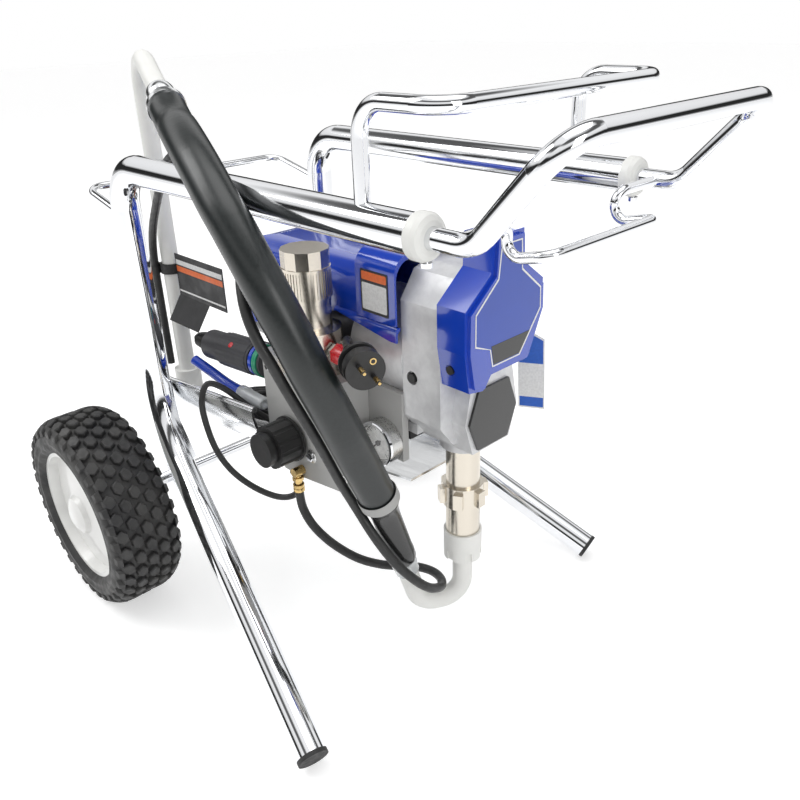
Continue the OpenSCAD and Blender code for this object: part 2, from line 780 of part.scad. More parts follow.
module bearings() {
    color("silver") {
        bearing_ring(can_back - bell_cap_len + 4, motor_z, bearing_d, shaft_d, bearing_w);
        bearing_ring(housing_x - bearing_w, motor_z, bearing_d, shaft_d, bearing_w);
        bearing_ring(housing_x + 2, crank_z, crank_bearing_d, crank_shaft_d, back_wall - 2);
    }
}

// Cross-section of the shroud, rounded at the top corners, standing on z = low
module shroud_section(half, top, low, r) {
    for (s = [-1, 1]) translate([s * (half - r), top - r]) circle(r = r);
    translate([-half + r, low]) square([2 * (half - r), top - low]);
    translate([-half, low]) square([2 * half, top - r - low]);
}

// Outer form of the shroud, pulled in by t
module shroud_form(t) {
    back = can_back - bell_cap_len - 22 + t;
    plan_r = 40;
    saddle_back = housing_x - 59;
    intersection() {
        union() {
            translate([back, 0, 0]) rotate([90, 0, 90]) linear_extrude(housing_x - back)
                shroud_section(shroud_half - t, shroud_top - t, 300, 38);
            // Raised saddle next to the drive housing
            translate([saddle_back + t, 0, 0]) rotate([90, 0, 90]) linear_extrude(housing_x - saddle_back - t)
                shroud_section(shroud_half + 4 - t, shroud_top + 24 - t, 438, 20);
            // Ledge and skirt below the saddle
            translate([bell_back - 18 + t, 0, 0]) rotate([90, 0, 90]) linear_extrude(housing_x - bell_back + 18 - t)
                shroud_section(shroud_half + 4 - t, 438 - t, 300, 6);
        }
        // Side outline: domed back, lower edge that drops towards the back
        translate([0, 200, 0]) rotate([90, 0, 0]) linear_extrude(400) union() {
            translate([back + 70, 0]) polygon([[-70, 360], [150, 434], [235, 420], [310, 420],
                [310, 600], [0, 600], [0, shroud_top - t - 70], [-70, shroud_top - t - 70]]);
            translate([back + 70, shroud_top - t - 70]) intersection() {
                circle(r = 70);
                translate([-70, 0]) square(70);
            }
        }
        translate([back, -200, 300]) cube([500, 400, 300]);
        // Rounded back in plan
        union() {
            for (s = [-1, 1]) translate([back + plan_r - t, s * (shroud_half - plan_r), 300])
                cylinder(h = 300, r = plan_r - t);
            translate([back, plan_r - shroud_half, 300]) cube([500, 2 * (shroud_half - plan_r), 300]);
            translate([back + plan_r - t, -200, 300]) cube([500, 400, 300]);
        }
    }
}

module motor_shroud() {
    on_cart() color([0.05, 0.2, 0.7]) difference() {
        shroud_form(0);
        translate([0, 0, -cover_wall]) shroud_form(cover_wall);
        // Room for the front bell and the can
        translate([can_back - bell_cap_len, 0, motor_z]) rotate([0, 90, 0]) cylinder(h = 400, d = bell_d + 0.6);
        // Air slots in the back
        for (z = [380:12:428]) translate([0, -26, z]) cube([can_back - bell_cap_len - 12, 52, 5]);
    }
}

// ---------- Drive housing ----------

module extrude_x(x, h) {
    translate([x, 0, 0]) rotate([90, 0, 90]) linear_extrude(h) children();
}

module housing_outline() {
    half = housing_w / 2;
    polygon([[38, housing_low], [half, housing_low + 26], [half, housing_top - 34], [half - 20, housing_top - 6],
        [half - 38, housing_top], [-half + 38, housing_top], [-half + 20, housing_top - 6],
        [-half, housing_top - 34], [-half, housing_low + 26], [-38, housing_low]]);
}

module nose_outline() {
    polygon([[30, housing_low - 8], [42, housing_low + 30], [30, nose_top], [-30, nose_top],
        [-42, housing_low + 30], [-30, housing_low - 8]]);
}

module drive_housing() {
    on_cart() color([0.85, 0.84, 0.83]) difference() {
        union() {
            extrude_x(housing_x, housing_len) housing_outline();
            // Nose below the front cover, which carries the badge plate
            extrude_x(housing_x, housing_len + nose_len) nose_outline();
            // Socket that holds the pump cylinder
            translate([pump_x, 0, socket_low]) cylinder(h = 40, d = socket_d);
            // Foot that stands on the mounting pads
            translate([housing_x - foot_len, -48, housing_low]) cube([foot_len + 10, 96, 12]);
        }
        // Gear chamber, open at the front
        extrude_x(housing_x + back_wall, housing_len) intersection() {
            union() {
                translate([0, crank_z]) circle(r = cavity_r);
                translate([-throat_half, cavity_low]) square([2 * throat_half, crank_z - cavity_low]);
            }
            translate([-cavity_r, cavity_low]) square([2 * cavity_r, housing_top - 4 - cavity_low]);
        }
        // Pocket of the crank bearing and bore for the rotor shaft
        translate([housing_x + 2, 0, crank_z]) rotate([0, 90, 0])
            cylinder(h = back_wall, d = crank_bearing_d + 2 * fit);
        translate([housing_x - 1, 0, motor_z]) rotate([0, 90, 0]) cylinder(h = back_wall + 2, d = shaft_d + 3);
        // Guide for the piston rod and bore for the pump cylinder
        translate([pump_x, 0, cylinder_top - 1]) cylinder(h = cavity_low - cylinder_top + 2, d = 32);
        translate([pump_x, 0, socket_low - 1])
            cylinder(h = cylinder_top - socket_low + 1, d = cylinder_d + 2 * fit);
        // Screw pocket on each side
        for (s = [-1, 1]) translate([housing_x + 14, s * (housing_w / 2 + 1), motor_z - 9]) rotate([s * 90, 0, 0])
            cylinder(h = 5, d = 15);
    }
}

module crank_gear() {
    on_cart() color("dimgray") translate([0, 0, crank_z]) rotate([0, 90, 0]) {
        translate([0, 0, gear_x]) rotate(180 / gear_teeth) linear_extrude(gear_w) polygon(gear_outline(gear_teeth));
        translate([0, 0, housing_x + 2]) cylinder(h = gear_x - housing_x - 2, d = crank_shaft_d);
        translate([-crank_r, 0, gear_x + gear_w]) cylinder(h = rod_back - 0.5 - gear_x - gear_w, d = crank_pin_d);
    }
}

module connecting_rod() {
    outer = crank_pin_d / 2 + 8;
    on_cart() color("gray") translate([rod_back, 0, 0]) rotate([90, 0, 90]) linear_extrude(rod_t) difference() {
        union() {
            translate([0, big_end_z]) circle(r = outer);
            translate([0, wrist_z]) circle(r = wrist_d / 2 + 6);
            polygon([[-7, wrist_z], [7, wrist_z], [12, big_end_z - 12], [-12, big_end_z - 12]]);
        }
        translate([0, big_end_z]) circle(d = crank_pin_d + 2 * fit);
        translate([0, wrist_z]) circle(d = wrist_d + 2 * fit);
    }
}

module piston_rod() {
    on_cart() color("silver") translate([pump_x, 0, 0]) {
        translate([0, 0, piston_z]) cylinder(h = wrist_z - 18 - piston_z, d = piston_rod_d);
        translate([0, 0, piston_z - 17]) cylinder(h = 17, d = bore_d - 4 * fit);
        translate([0, 0, wrist_z - 19]) cylinder(h = 5, d = 26);
        intersection() {
            translate([0, 0, wrist_z - 14]) cylinder(h = 26, d = 26);
            for (s = [-1, 1]) translate([s * (rod_t / 2 + 2.2) - 2, -13, wrist_z - 14]) cube([4, 26, 26]);
        }
        translate([0, 0, wrist_z]) rotate([0, 90, 0]) cylinder(h = rod_t + 6, d = wrist_d, center = true);
    }
}

// ---------- Front cover ----------

// Outline of the front cover, seen from the front, pulled in by t
module cover_outline(t) {
    polygon([[-25 + t, 504 - t], [-62 + t, 474 - t], [-62 + t, 430], [-55 + t, 388 + t], [-34 - t / 2, 384 + t],
        [-26, nose_top + 0.3 + t], [36 - t, nose_top + 0.3 + t], [58 - t, 446 + t], [57 - t, 480 - t], [25 - t, 504 - t],
        [23 - t, 538 - t], [-23 + t, 538 - t]]);
}

module front_cover() {
    on_cart() color([0.05, 0.2, 0.75]) difference() {
        union() {
            extrude_x(housing_front, cover_depth - 4) cover_outline(0);
            extrude_x(housing_front, cover_depth) cover_outline(4);
        }
        extrude_x(housing_front - 1, cover_depth - cover_wall + 1) cover_outline(cover_wall + 3);
        // Nose of the housing below
        extrude_x(housing_front - 1, nose_len + 2) offset(delta = 0.3) nose_outline();
        // Screw recess in the lower lobe
        translate([housing_front + 14, -70, 408]) rotate([-90, 0, 0]) cylinder(h = 13.5, d = 12);
        // Seat of the inset panel
        extrude_x(cover_front - 1, 2) panel_outline(-fit);
    }
}

module panel_outline(t) {
    polygon([[-20 + t, 498 - t], [-52 + t, 470 - t], [-52 + t, 436 + t], [-30 + t, 428], [-26 + t, 408 + t],
        [18 - t, 408 + t], [50 - t, 450 + t], [49 - t, 474 - t], [18 - t, 500 - t], [16 - t, 530 - t],
        [-16 + t, 530 - t]]);
}

module cover_panel() {
    on_cart() color([0.1, 0.15, 0.6]) extrude_x(cover_front - 1, 1) panel_outline(0);
}

module cover_screws() {
    on_cart() color([0.15, 0.15, 0.15]) {
        translate([housing_front + 14, -56.5, 408]) rotate([90, 0, 0]) cylinder(h = 3, d = 9);
        for (s = [-1, 1]) translate([housing_x + 14, s * (housing_w / 2 - 4), motor_z - 9]) rotate([-s * 90, 0, 0])
            cylinder(h = 6, d = 11);
    }
}

module badge_plate() {
    nose = housing_front + nose_len;
    on_cart() color([0.1, 0.1, 0.1]) extrude_x(nose, 3) polygon([[24, housing_low - 4], [38, housing_low + 30],
        [24, housing_low + 66], [-24, housing_low + 66], [-38, housing_low + 30], [-24, housing_low - 4]]);
}

// ---------- Pump ----------

module on_pump(z) {
    on_cart() translate([pump_x, 0, z]) children();
}

module pump_cylinder() {
    on_pump(cylinder_low_z) color([0.7, 0.68, 0.62]) difference() {
        cylinder(h = cylinder_top - cylinder_low_z, d = cylinder_d);
        translate([0, 0, -1]) cylinder(h = cylinder_top - cylinder_low_z + 2, d = bore_d);
        translate([0, 0, cylinder_top - cylinder_low_z - packing_h]) cylinder(h = packing_h + 1, d = packing_d);
    }
}

module jam_nut() {
    on_pump(jam_low) color("silver") difference() {
        union() {
            cylinder(h = jam_nut_h, d = cylinder_d + 9);
            for (a = [0:60:300]) rotate(a) translate([cylinder_d / 2, -5.5, 4]) cube([9.5, 11, jam_nut_h - 8]);
        }
        translate([0, 0, -1]) cylinder(h = jam_nut_h + 2, d = cylinder_d + 2 * fit);
    }
}

module packings() {
    count = 4;
    pitch = packing_h / count;
    color([0.9, 0.85, 0.7]) for (i = [0:count - 1]) on_pump(cylinder_top - packing_h + i * pitch) difference() {
        cylinder(h = pitch - 0.1, d = packing_d - 2 * fit);
        translate([0, 0, -1]) cylinder(h = pitch + 2, d = piston_rod_d + 2 * fit);
    }
}

module intake_housing() {
    on_pump(intake_low) color([0.72, 0.7, 0.66]) difference() {
        cylinder(h = intake_len, d = intake_d);
        translate([0, 0, -1]) cylinder(h = intake_len + 2, d = seat_d);
        translate([0, 0, chamber_z - intake_low]) cylinder(h = intake_len, d = bore_d);
    }
}

module intake_ball() {
    on_pump(ball_z) color("silver") sphere(d = ball_d);
}

module inlet_nut() {
    h = inlet_nut_top - inlet_nut_low;
    on_pump(inlet_nut_low) color("white") difference() {
        cylinder(h = h, d = inlet_nut_d);
        translate([0, 0, intake_low - inlet_nut_low]) cylinder(h = h, d = intake_d + 2 * fit);
        translate([0, 0, -1]) cylinder(h = h, d = pipe_d + 2 * fit);
        for (a = [0:60:300]) rotate(a + 30) translate([inlet_nut_d / 2 - 2.5, -4, -1]) cube([6, 8, 13]);
    }
}

// ---------- Fluid section ----------

module control_box() {
    on_cart() color([0.72, 0.72, 0.7]) difference() {
        union() {
            translate([0, box_y, 0]) rotate([90, 0, 0]) linear_extrude(box_depth)
                polygon([[box_x, box_top], [box_x, 262], box_low[0], box_low[1], box_low[2], [box_low[2].x, gauge_at.y - 29],
                    [gauge_side, gauge_at.y - 22], [gauge_side, box_top]]);
            // Arm that bolts to the drive housing and carries the gauge
            translate([gauge_side - 6, arm_y, gauge_at.y - 20])
                cube([housing_x - gauge_side + 6, arm_t, arm_top - gauge_at.y + 20]);
            translate([knob_at.x, box_near + 1, knob_at.y]) rotate([90, 0, 0]) cylinder(h = valve_boss + 1, d = 34);
        }
        translate([knob_at.x, box_near - valve_boss - 1, knob_at.y]) rotate([-90, 0, 0])
            cylinder(h = 24, d = 14 + 2 * fit);
        translate([barb.x, box_near - 1, barb.y]) rotate([-90, 0, 0]) cylinder(h = 14, d = 12 + 2 * fit);
        translate([gauge_at.x, arm_y - 1, gauge_at.y]) rotate([-90, 0, 0]) cylinder(h = 8, d = 12 + 2 * fit);
        translate([box_x - 1, switch_at.x - switch_slot.x / 2, switch_at.y - switch_slot.y / 2])
            cube([switch_pocket + 1, switch_slot.x, switch_slot.y]);
    }
}

module manifold() {
    on_cart() color([0.8, 0.8, 0.78]) difference() {
        union() {
            translate([filter.x - 30, filter.y - 27, box_top]) cube([60, 54, manifold_h - 2]);
            translate([filter.x, filter.y, flange_z - 4]) cylinder(h = 17, d = flange_d);
            translate([filter.x, filter.y, flange_z]) cylinder(h = 42 - 0.3, d = bowl_d);
        }
        translate([filter.x, filter.y, flange_z - 20]) cylinder(h = 80, d = bowl_d - 12);
        translate([0, -200, 0]) cube([filter.x - 32, 400, 500]);
        translate([0, -62.6, 0]) cube([600, 100, 500]);
        translate([filter.x + 20, filter.y + 2, box_top + 31]) rotate([0, 90, 0]) cylinder(h = 40, d = 14);
    }
}

module filter_cap() {
    on_cart() color([0.75, 0.7, 0.62]) translate([filter.x, filter.y, cap_z]) difference() {
        union() {
            translate([0, 0, 6]) cylinder(h = cap_h - 19 - 6, d = cap_d);
            cylinder(h = 6, d = cap_d - 4);
            translate([0, 0, cap_h - 19]) cylinder(h = 19, d = cap_d - 0.5, $fn = 12);
        }
        for (i = [0:47]) rotate(i * 7.5) translate([cap_d / 2 - 0.8, -0.6, 8]) cube([3, 1.2, cap_h - 30]);
        translate([0, 0, -1]) cylinder(h = cap_h - 8, d = bowl_d - 14);
    }
}

module filter_element() {
    on_cart() color([0.9, 0.88, 0.8]) translate([filter.x, filter.y, flange_z - 20]) difference() {
        cylinder(h = 100, d = 26);
        translate([0, 0, -1]) cylinder(h = 95, d = 20);
    }
}

module outlet_fitting() {
    on_cart() color("silver") translate([filter.x + 21, filter.y + 2, box_top + 31]) rotate([0, 90, 0]) {
        cylinder(h = 15, d = 14 - 2 * fit);
        translate([0, 0, 14.2]) cylinder(h = 5, d = 20, $fn = 6);
        cylinder(h = 34, d = 12);
    }
}

module outlet_cap() {
    on_cart() color([0.9, 0.1, 0.15]) translate([filter.x + 41, filter.y + 2, box_top + 31]) rotate([0, 90, 0])
        difference() {
            union() {
                cylinder(h = 22, d = 24, $fn = 6);
                translate([0, 0, 3]) cylinder(h = 19, d = 23);
            }
            translate([0, 0, -1]) cylinder(h = 17, d = 12 + 2 * fit);
        }
}

// Prime valve stem with its brass drain barb
module prime_valve() {
    on_cart() color([0.72, 0.58, 0.28]) {
        translate([knob_at.x, box_near + 18, knob_at.y]) rotate([90, 0, 0])
            cylinder(h = 18 + valve_boss + 8, d = 14);
        translate([barb.x, box_near + 12, barb.y]) rotate([90, 0, 0]) cylinder(h = 26, d = 12);
        translate([barb.x, barb_y, barb.y - 16]) cylinder(h = 16, d = 9);
        translate([barb.x, barb_y, barb.y - 12]) cylinder(h = 5, d = 14, $fn = 6);
    }
}

module prime_knob() {
    on_cart() color([0.08, 0.08, 0.08]) translate([knob_at.x, box_near - valve_boss, knob_at.y]) rotate([90, 0, 0])
        difference() {
            union() {
                cylinder(h = 3, d = knob_d);
                translate([0, 0, 0.5]) cylinder(h = knob_len - valve_boss - 12, d = knob_d - 4);
                cylinder(h = knob_len - valve_boss, d = 38);
                translate([0, 0, knob_len - valve_boss - 8]) cylinder(h = 8, d = 42);
            }
            translate([0, 0, -1]) cylinder(h = 9.3, d = 14 + 2 * fit);
            for (a = [0:30:330]) rotate(a) translate([knob_d / 2, 0, 4]) cylinder(h = knob_len, d = 7);
        }
}

module pressure_knob() {
    on_cart() color([0.1, 0.1, 0.1]) translate([216, -82, box_top + 0.3]) difference() {
        cylinder(h = 20, d = 34);
        for (a = [0:30:330]) rotate(a) translate([18, 0, -1]) cylinder(h = 30, d = 5);
    }
}

module power_switch() {
    on_cart() color([0.1, 0.1, 0.1]) translate([box_x + 2, switch_at.x, switch_at.y]) rotate([0, -90, 0]) intersection() {
        translate([-11, -7, 0]) cube([22, 14, 8]);
        translate([0, 10, -17]) rotate([90, 0, 0]) cylinder(h = 20, r = 24);
    }
}

module gauge_case() {
    on_cart() color("silver") translate([gauge_at.x, arm_y - 0.3, gauge_at.y]) rotate([90, 0, 0]) difference() {
        union() {
            cylinder(h = gauge_depth, d = gauge_d);
            translate([0, 0, -6]) cylinder(h = 7, d = 12);
        }
        translate([0, 0, gauge_depth - 6]) cylinder(h = 7, d = gauge_d - 7);
    }
}

module gauge_needle() {
    on_cart() color([0.1, 0.1, 0.1]) translate([gauge_at.x, arm_y - 0.3 - gauge_depth + 6 - 0.2, gauge_at.y])
        rotate([90, 0, 0]) {
            cylinder(h = 2, d = 6);
            rotate(225) translate([-6, -0.7, 0.6]) cube([24, 1.4, 1]);
        }
}

// ---------- Hoses, pipes and cords ----------

module suction_sleeve() {
    on_cart() color([0.15, 0.16, 0.17]) {
        swept(spline(sleeve_route, 3), sleeve_d, 12);
        bar(sleeve_end, cuff_end, cuff_d);
    }
}

module suction_pipe() {
    on_cart() color("white") {
        difference() {
            bent_bar([ferrule + ferrule_dir * ferrule_gap, pipe_corner, pipe_low], [45], pipe_d);
            bent_bar([ferrule, pipe_corner, pipe_low - [0, 0, 1]], [45], pipe_bore);
        }
        along(ferrule + ferrule_dir * ferrule_gap, ferrule_dir) difference() {
            cylinder(h = 32, d = pipe_d + 8);
            translate([0, 0, -1]) cylinder(h = 34, d = pipe_d - 1);
        }
        // Inlet strainer
        translate(pipe_low - [0, 0, 52]) difference() {
            cylinder(h = 56, d = 38);
            translate([0, 0, 4]) cylinder(h = 44, d = 32);
            translate([0, 0, 20]) cylinder(h = 50, d = pipe_d - 1);
        }
    }
}

module inlet_pipe() {
    top = intake_low - 1;
    on_cart() color("white") difference() {
        bent_bar([cuff_end + unit(inlet_corners[0] - cuff_end) * 0.3, inlet_corners[0], inlet_corners[1],
            [pump_x, 0, top]], [28, 28], pipe_d);
        bent_bar([cuff_end, inlet_corners[0], inlet_corners[1], [pump_x, 0, top + 1]], [28, 28], pipe_bore);
    }
}

module drain_hose() {
    on_cart() color([0.1, 0.1, 0.1]) swept(spline(drain_route, 3), drain_d, 8);
}

module power_cord() {
    on_cart() color([0.08, 0.08, 0.08]) {
        translate([gland.x, gland.y, gland.z - gland_len]) cylinder(h = gland_len, d = 15);
        swept(spline(cord_route, 3), cord_d, 8);
        swept(spline(lead_route, 3), cord_d, 8);
    }
}

// Two layers of loops wound as one unbroken tube, spiralling in and out again
function coil_point(t) =
    let (n = coil_turns, inward = t < n ? t : 2 * n - t, r = coil_r + coil_pitch * (n - inward),
        up = min(max(t - n + 0.5, 0), 1))
    [r * cos(360 * t), r * sin(360 * t), coil_pitch * (3 * up * up - 2 * up * up * up)];

function from_coil(p) = [
    coil_at.x + p.x,
    coil_at.y + p.y * cos(coil_lean) + p.z * sin(coil_lean),
    coil_at.z - p.y * sin(coil_lean) + p.z * cos(coil_lean)];

module cord_coil() {
    on_cart() color([0.08, 0.08, 0.08]) swept([for (p = coil_path) from_coil(p)], cord_d, 6);
}

module cord_connector() {
    on_cart() color([0.2, 0.2, 0.21]) along(connector[0], connector_axis) {
        cylinder(h = norm(connector[1] - connector[0]), d = connector_d - 4);
        translate([0, 0, 34]) cylinder(h = 70, d = connector_d);
        translate([0, 0, -connector_tail]) cylinder(h = connector_tail, d1 = 15, d2 = 26);
    }
}

module plug_lead() {
    on_cart() color([0.08, 0.08, 0.08]) {
        swept(spline(plug_route, 4), cord_d, 8);
        translate([plug_route[0].x, plug_route[0].y, box_top]) cylinder(h = plug_route[0].z - box_top, d = 15);
    }
}

module power_plug() {
    on_cart() color([0.06, 0.06, 0.06]) along(plug_tail, plug_dir) rotate(-41) {
        cylinder(h = relief_len, d1 = 11, d2 = 17);
        translate([0, 0, relief_len]) cylinder(h = 18, d1 = 25, d2 = plug_d);
        translate([0, 0, relief_len + 18]) cylinder(h = plug_face - relief_len - 18, d = plug_d);
        for (s = [-1, 1]) translate([0, s * pin_gap / 2, plug_face]) cylinder(h = pin_len, d = pin_d);
    }
}

module blue_hose() {
    on_cart() color([0.1, 0.15, 0.7]) {
        swept(spline(blue_route, 3), blue_d, 8);
        bar(blue_route[3], blue_end, blue_d + 6);
    }
}

module instruction_card() {
    on_cart() color([0.1, 0.1, 0.1]) translate([pipe_low.x + pipe_d / 2 + 3.3, pipe_low.y, 372]) {
        translate([0, -card_t / 2, 0]) cube([120, card_t, 60]);
        rotate([-35, 0, 0]) translate([0, -card_t / 2, -40]) cube([76, card_t, 40]);
    }
}

module hose_clips() {
    on_cart() color([0.08, 0.08, 0.08]) {
        along(sleeve_end - strap_dir * 12, strap_dir) difference() {
            cylinder(h = 12, d = sleeve_d + 3);
            translate([0, 0, -1]) cylinder(h = 14, d = sleeve_d + 0.6);
        }
        translate([pipe_low.x, pipe_low.y, 402]) difference() {
            cylinder(h = 14, d = pipe_d + 6);
            translate([0, 0, -1]) cylinder(h = 16, d = pipe_d + 2 * fit);
        }
    }
}

side_tube_right();
side_tube_left();
foot_plugs();
handle_collars();
collar_screws();
cradle();
axle();
front_hose_rack();
rear_hose_rack();
tyre_right();
tyre_left();
rim_right();
rim_left();
pull_handle();
handle_bushings();
mount_pads();
motor_can();
front_bell();
rear_bell();
rotor();
bearings();
motor_shroud();
drive_housing();
crank_gear();
connecting_rod();
piston_rod();
front_cover();
cover_panel();
cover_screws();
badge_plate();
pump_cylinder();
jam_nut();
packings();
intake_housing();
intake_ball();
inlet_nut();
control_box();
manifold();
filter_cap();
filter_element();
outlet_fitting();
outlet_cap();
prime_valve();
prime_knob();
pressure_knob();
power_switch();
gauge_case();
gauge_needle();
suction_sleeve();
suction_pipe();
inlet_pipe();
drain_hose();
power_cord();
cord_coil();
cord_connector();
plug_lead();
power_plug();
blue_hose();
instruction_card();
hose_clips();
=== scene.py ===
# Looks of an airless paint sprayer on a two-wheeled tube cart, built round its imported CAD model.
import math

import bmesh
import bpy
from mathutils import Matrix, Vector


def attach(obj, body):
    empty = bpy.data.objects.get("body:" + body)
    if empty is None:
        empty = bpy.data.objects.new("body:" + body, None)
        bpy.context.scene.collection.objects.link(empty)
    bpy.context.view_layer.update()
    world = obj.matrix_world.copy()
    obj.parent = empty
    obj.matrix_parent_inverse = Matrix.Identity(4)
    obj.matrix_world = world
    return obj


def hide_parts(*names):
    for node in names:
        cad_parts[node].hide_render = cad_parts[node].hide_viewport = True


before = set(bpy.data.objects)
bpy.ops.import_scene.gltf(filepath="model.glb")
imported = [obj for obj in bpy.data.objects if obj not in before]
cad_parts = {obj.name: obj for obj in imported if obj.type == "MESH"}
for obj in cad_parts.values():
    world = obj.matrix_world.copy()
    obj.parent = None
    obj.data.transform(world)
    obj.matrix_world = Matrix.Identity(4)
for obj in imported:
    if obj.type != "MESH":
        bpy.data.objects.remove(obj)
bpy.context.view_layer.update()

# Places are written in millimetres from the axis of the uprights, as in the part's source.
X_MID = 247.5


def at(x, y, z):
    """A place in millimetres from the uprights' axis, as a point of the row frame."""
    return Vector(((x - X_MID) / 1000, y / 1000, z / 1000))


# ---------- Camera ----------

AZIMUTH, ELEVATION, ROLL = 46.61, 26.28, -1.893
EYE = (932.9, -585.0, 729.8)
FOCAL_PX, IMAGE_PX = 795.02, 800


def make_camera():
    az, el, roll = (math.radians(a) for a in (AZIMUTH, ELEVATION, ROLL))
    back = Vector((math.sin(az) * math.cos(el), -math.cos(az) * math.cos(el), math.sin(el)))
    right = Vector((math.cos(az), math.sin(az), 0))
    up = back.cross(right)
    right, up = right * math.cos(roll) + up * math.sin(roll), up * math.cos(roll) - right * math.sin(roll)
    camera = bpy.data.objects.new("camera", bpy.data.cameras.new("camera"))
    bpy.context.scene.collection.objects.link(camera)
    camera.data.sensor_width = 36
    camera.data.lens = 36 * FOCAL_PX / IMAGE_PX
    camera.data.clip_start, camera.data.clip_end = 0.02, 60
    camera.matrix_world = Matrix.Translation(at(*EYE)) @ Matrix((right, up, back)).transposed().to_4x4()
    bpy.context.scene.camera = camera


make_camera()


# ---------- Materials ----------

class Shader:
    """A node material under construction, with its Principled shader."""

    def __init__(self, name, colour, rough, metal=0.0, **sockets):
        self.material = bpy.data.materials.new(name)
        self.material.use_nodes = True
        self.nodes = self.material.node_tree.nodes
        self.links = self.material.node_tree.links
        self.surface = self.nodes["Principled BSDF"]
        self.surface.inputs["Base Color"].default_value = (*colour, 1)
        self.surface.inputs["Roughness"].default_value = rough
        self.surface.inputs["Metallic"].default_value = metal
        for socket, value in sockets.items():
            self.surface.inputs[socket.replace("_", " ")].default_value = value
        self.colour = colour
        self.height = None

    def place(self):
        """Object coordinates, in metres."""
        node = self.nodes.new("ShaderNodeTexCoord")
        return node.outputs["Object"]

    def noise(self, scale, detail=3.0, rough=0.5, stretch=None):
        node = self.nodes.new("ShaderNodeTexNoise")
        node.inputs["Scale"].default_value = scale
        node.inputs["Detail"].default_value = detail
        node.inputs["Roughness"].default_value = rough
        source = self.place()
        if stretch:
            mapping = self.nodes.new("ShaderNodeMapping")
            mapping.inputs["Scale"].default_value = stretch
            self.links.new(source, mapping.inputs["Vector"])
            source = mapping.outputs["Vector"]
        self.links.new(source, node.inputs["Vector"])
        return node.outputs["Fac"]

    def remap(self, value, low, high, from_low=0.35, from_high=0.65):
        node = self.nodes.new("ShaderNodeMapRange")
        ends = {"From Min": from_low, "From Max": from_high, "To Min": low, "To Max": high}
        for socket, number in ends.items():
            node.inputs[socket].default_value = number
        self.links.new(value, node.inputs["Value"])
        return node.outputs["Result"]

    def rough_by(self, value, low, high, **ends):
        self.links.new(self.remap(value, low, high, **ends), self.surface.inputs["Roughness"])
        return self

    def tint_by(self, value, other, low=0.35, high=0.65):
        node = self.nodes.new("ShaderNodeMix")
        node.data_type = "RGBA"
        node.inputs["A"].default_value = (*self.colour, 1)
        node.inputs["B"].default_value = (*other, 1)
        self.links.new(self.remap(value, 0, 1, low, high), node.inputs["Factor"])
        self.links.new(node.outputs["Result"], self.surface.inputs["Base Color"])
        return self

    def bump_by(self, value, strength, depth=0.001):
        node = self.nodes.new("ShaderNodeBump")
        node.inputs["Strength"].default_value = strength
        node.inputs["Distance"].default_value = depth
        self.links.new(value, node.inputs["Height"])
        if self.height:
            self.links.new(self.height, node.inputs["Normal"])
        self.height = node.outputs["Normal"]
        self.links.new(self.height, self.surface.inputs["Normal"])
        return self


def chrome():
    s = Shader("chrome", (0.83, 0.84, 0.86), 0.06, 1.0)
    return s.rough_by(s.noise(9, 4), 0.04, 0.11).bump_by(s.noise(40, 2), 0.02, 0.0004).material


def polished_sheet():
    s = Shader("polished_sheet", (0.86, 0.87, 0.88), 0.16, 1.0)
    s.rough_by(s.noise(14, 4, stretch=(1, 12, 1)), 0.1, 0.24)
    return s.bump_by(s.noise(22, 2), 0.08, 0.0006).material


def cast_metal():
    s = Shader("cast_metal", (0.74, 0.745, 0.75), 0.42, 0.35, Coat_Weight=0.25, Coat_Roughness=0.3)
    s.tint_by(s.noise(60, 5), (0.62, 0.62, 0.63))
    return s.bump_by(s.noise(900, 3, 0.7), 0.35, 0.0004).rough_by(s.noise(300, 3), 0.34, 0.52).material


def turned_steel(name, colour=(0.6, 0.6, 0.59), rough=0.28):
    s = Shader(name, colour, rough, 1.0)
    s.rough_by(s.noise(400, 3), rough - 0.02, rough + 0.03)
    return s.bump_by(s.noise(900, 3), 0.05, 0.00005).material


def dark_steel():
    s = Shader("dark_steel", (0.11, 0.11, 0.12), 0.4, 0.6)
    return s.rough_by(s.noise(200, 4), 0.32, 0.5).bump_by(s.noise(500, 3), 0.12, 0.0002).material


def plastic(name, colour, rough, grain=0.12, coat=0.0):
    s = Shader(name, colour, rough, 0.0, Coat_Weight=coat, Coat_Roughness=0.06)
    deeper = tuple(c * 0.96 for c in colour)
    s.tint_by(s.noise(35, 3), deeper)
    s.rough_by(s.noise(200, 3), rough * 0.95, rough * 1.06)
    return s.bump_by(s.noise(1500, 2), grain, 0.00005).material


def rubber(name, colour, rough=0.62):
    s = Shader(name, colour, rough)
    s.tint_by(s.noise(50, 5), tuple(c * 1.5 for c in colour))
    s.rough_by(s.noise(180, 4), rough - 0.1, rough + 0.1)
    return s.bump_by(s.noise(1200, 4, 0.7), 0.3, 0.0003).material


def tyre_rubber():
    s = Shader("tyre_rubber", (0.022, 0.022, 0.023), 0.58)
    s.tint_by(s.noise(26, 6, 0.6), (0.05, 0.049, 0.047))
    return s.rough_by(s.noise(90, 5), 0.46, 0.72).bump_by(s.noise(900, 4, 0.7), 0.35, 0.0004).material


def sleeve_vinyl():
    """Soft, half glossy vinyl of the suction sleeve."""
    s = Shader("sleeve_vinyl", (0.008, 0.011, 0.011), 0.36, Coat_Weight=0.2, Coat_Roughness=0.25)
    s.tint_by(s.noise(300, 3), (0.011, 0.015, 0.015))
    return s.bump_by(s.noise(1600, 2), 0.15, 0.0002).rough_by(s.noise(300, 3), 0.31, 0.37).material


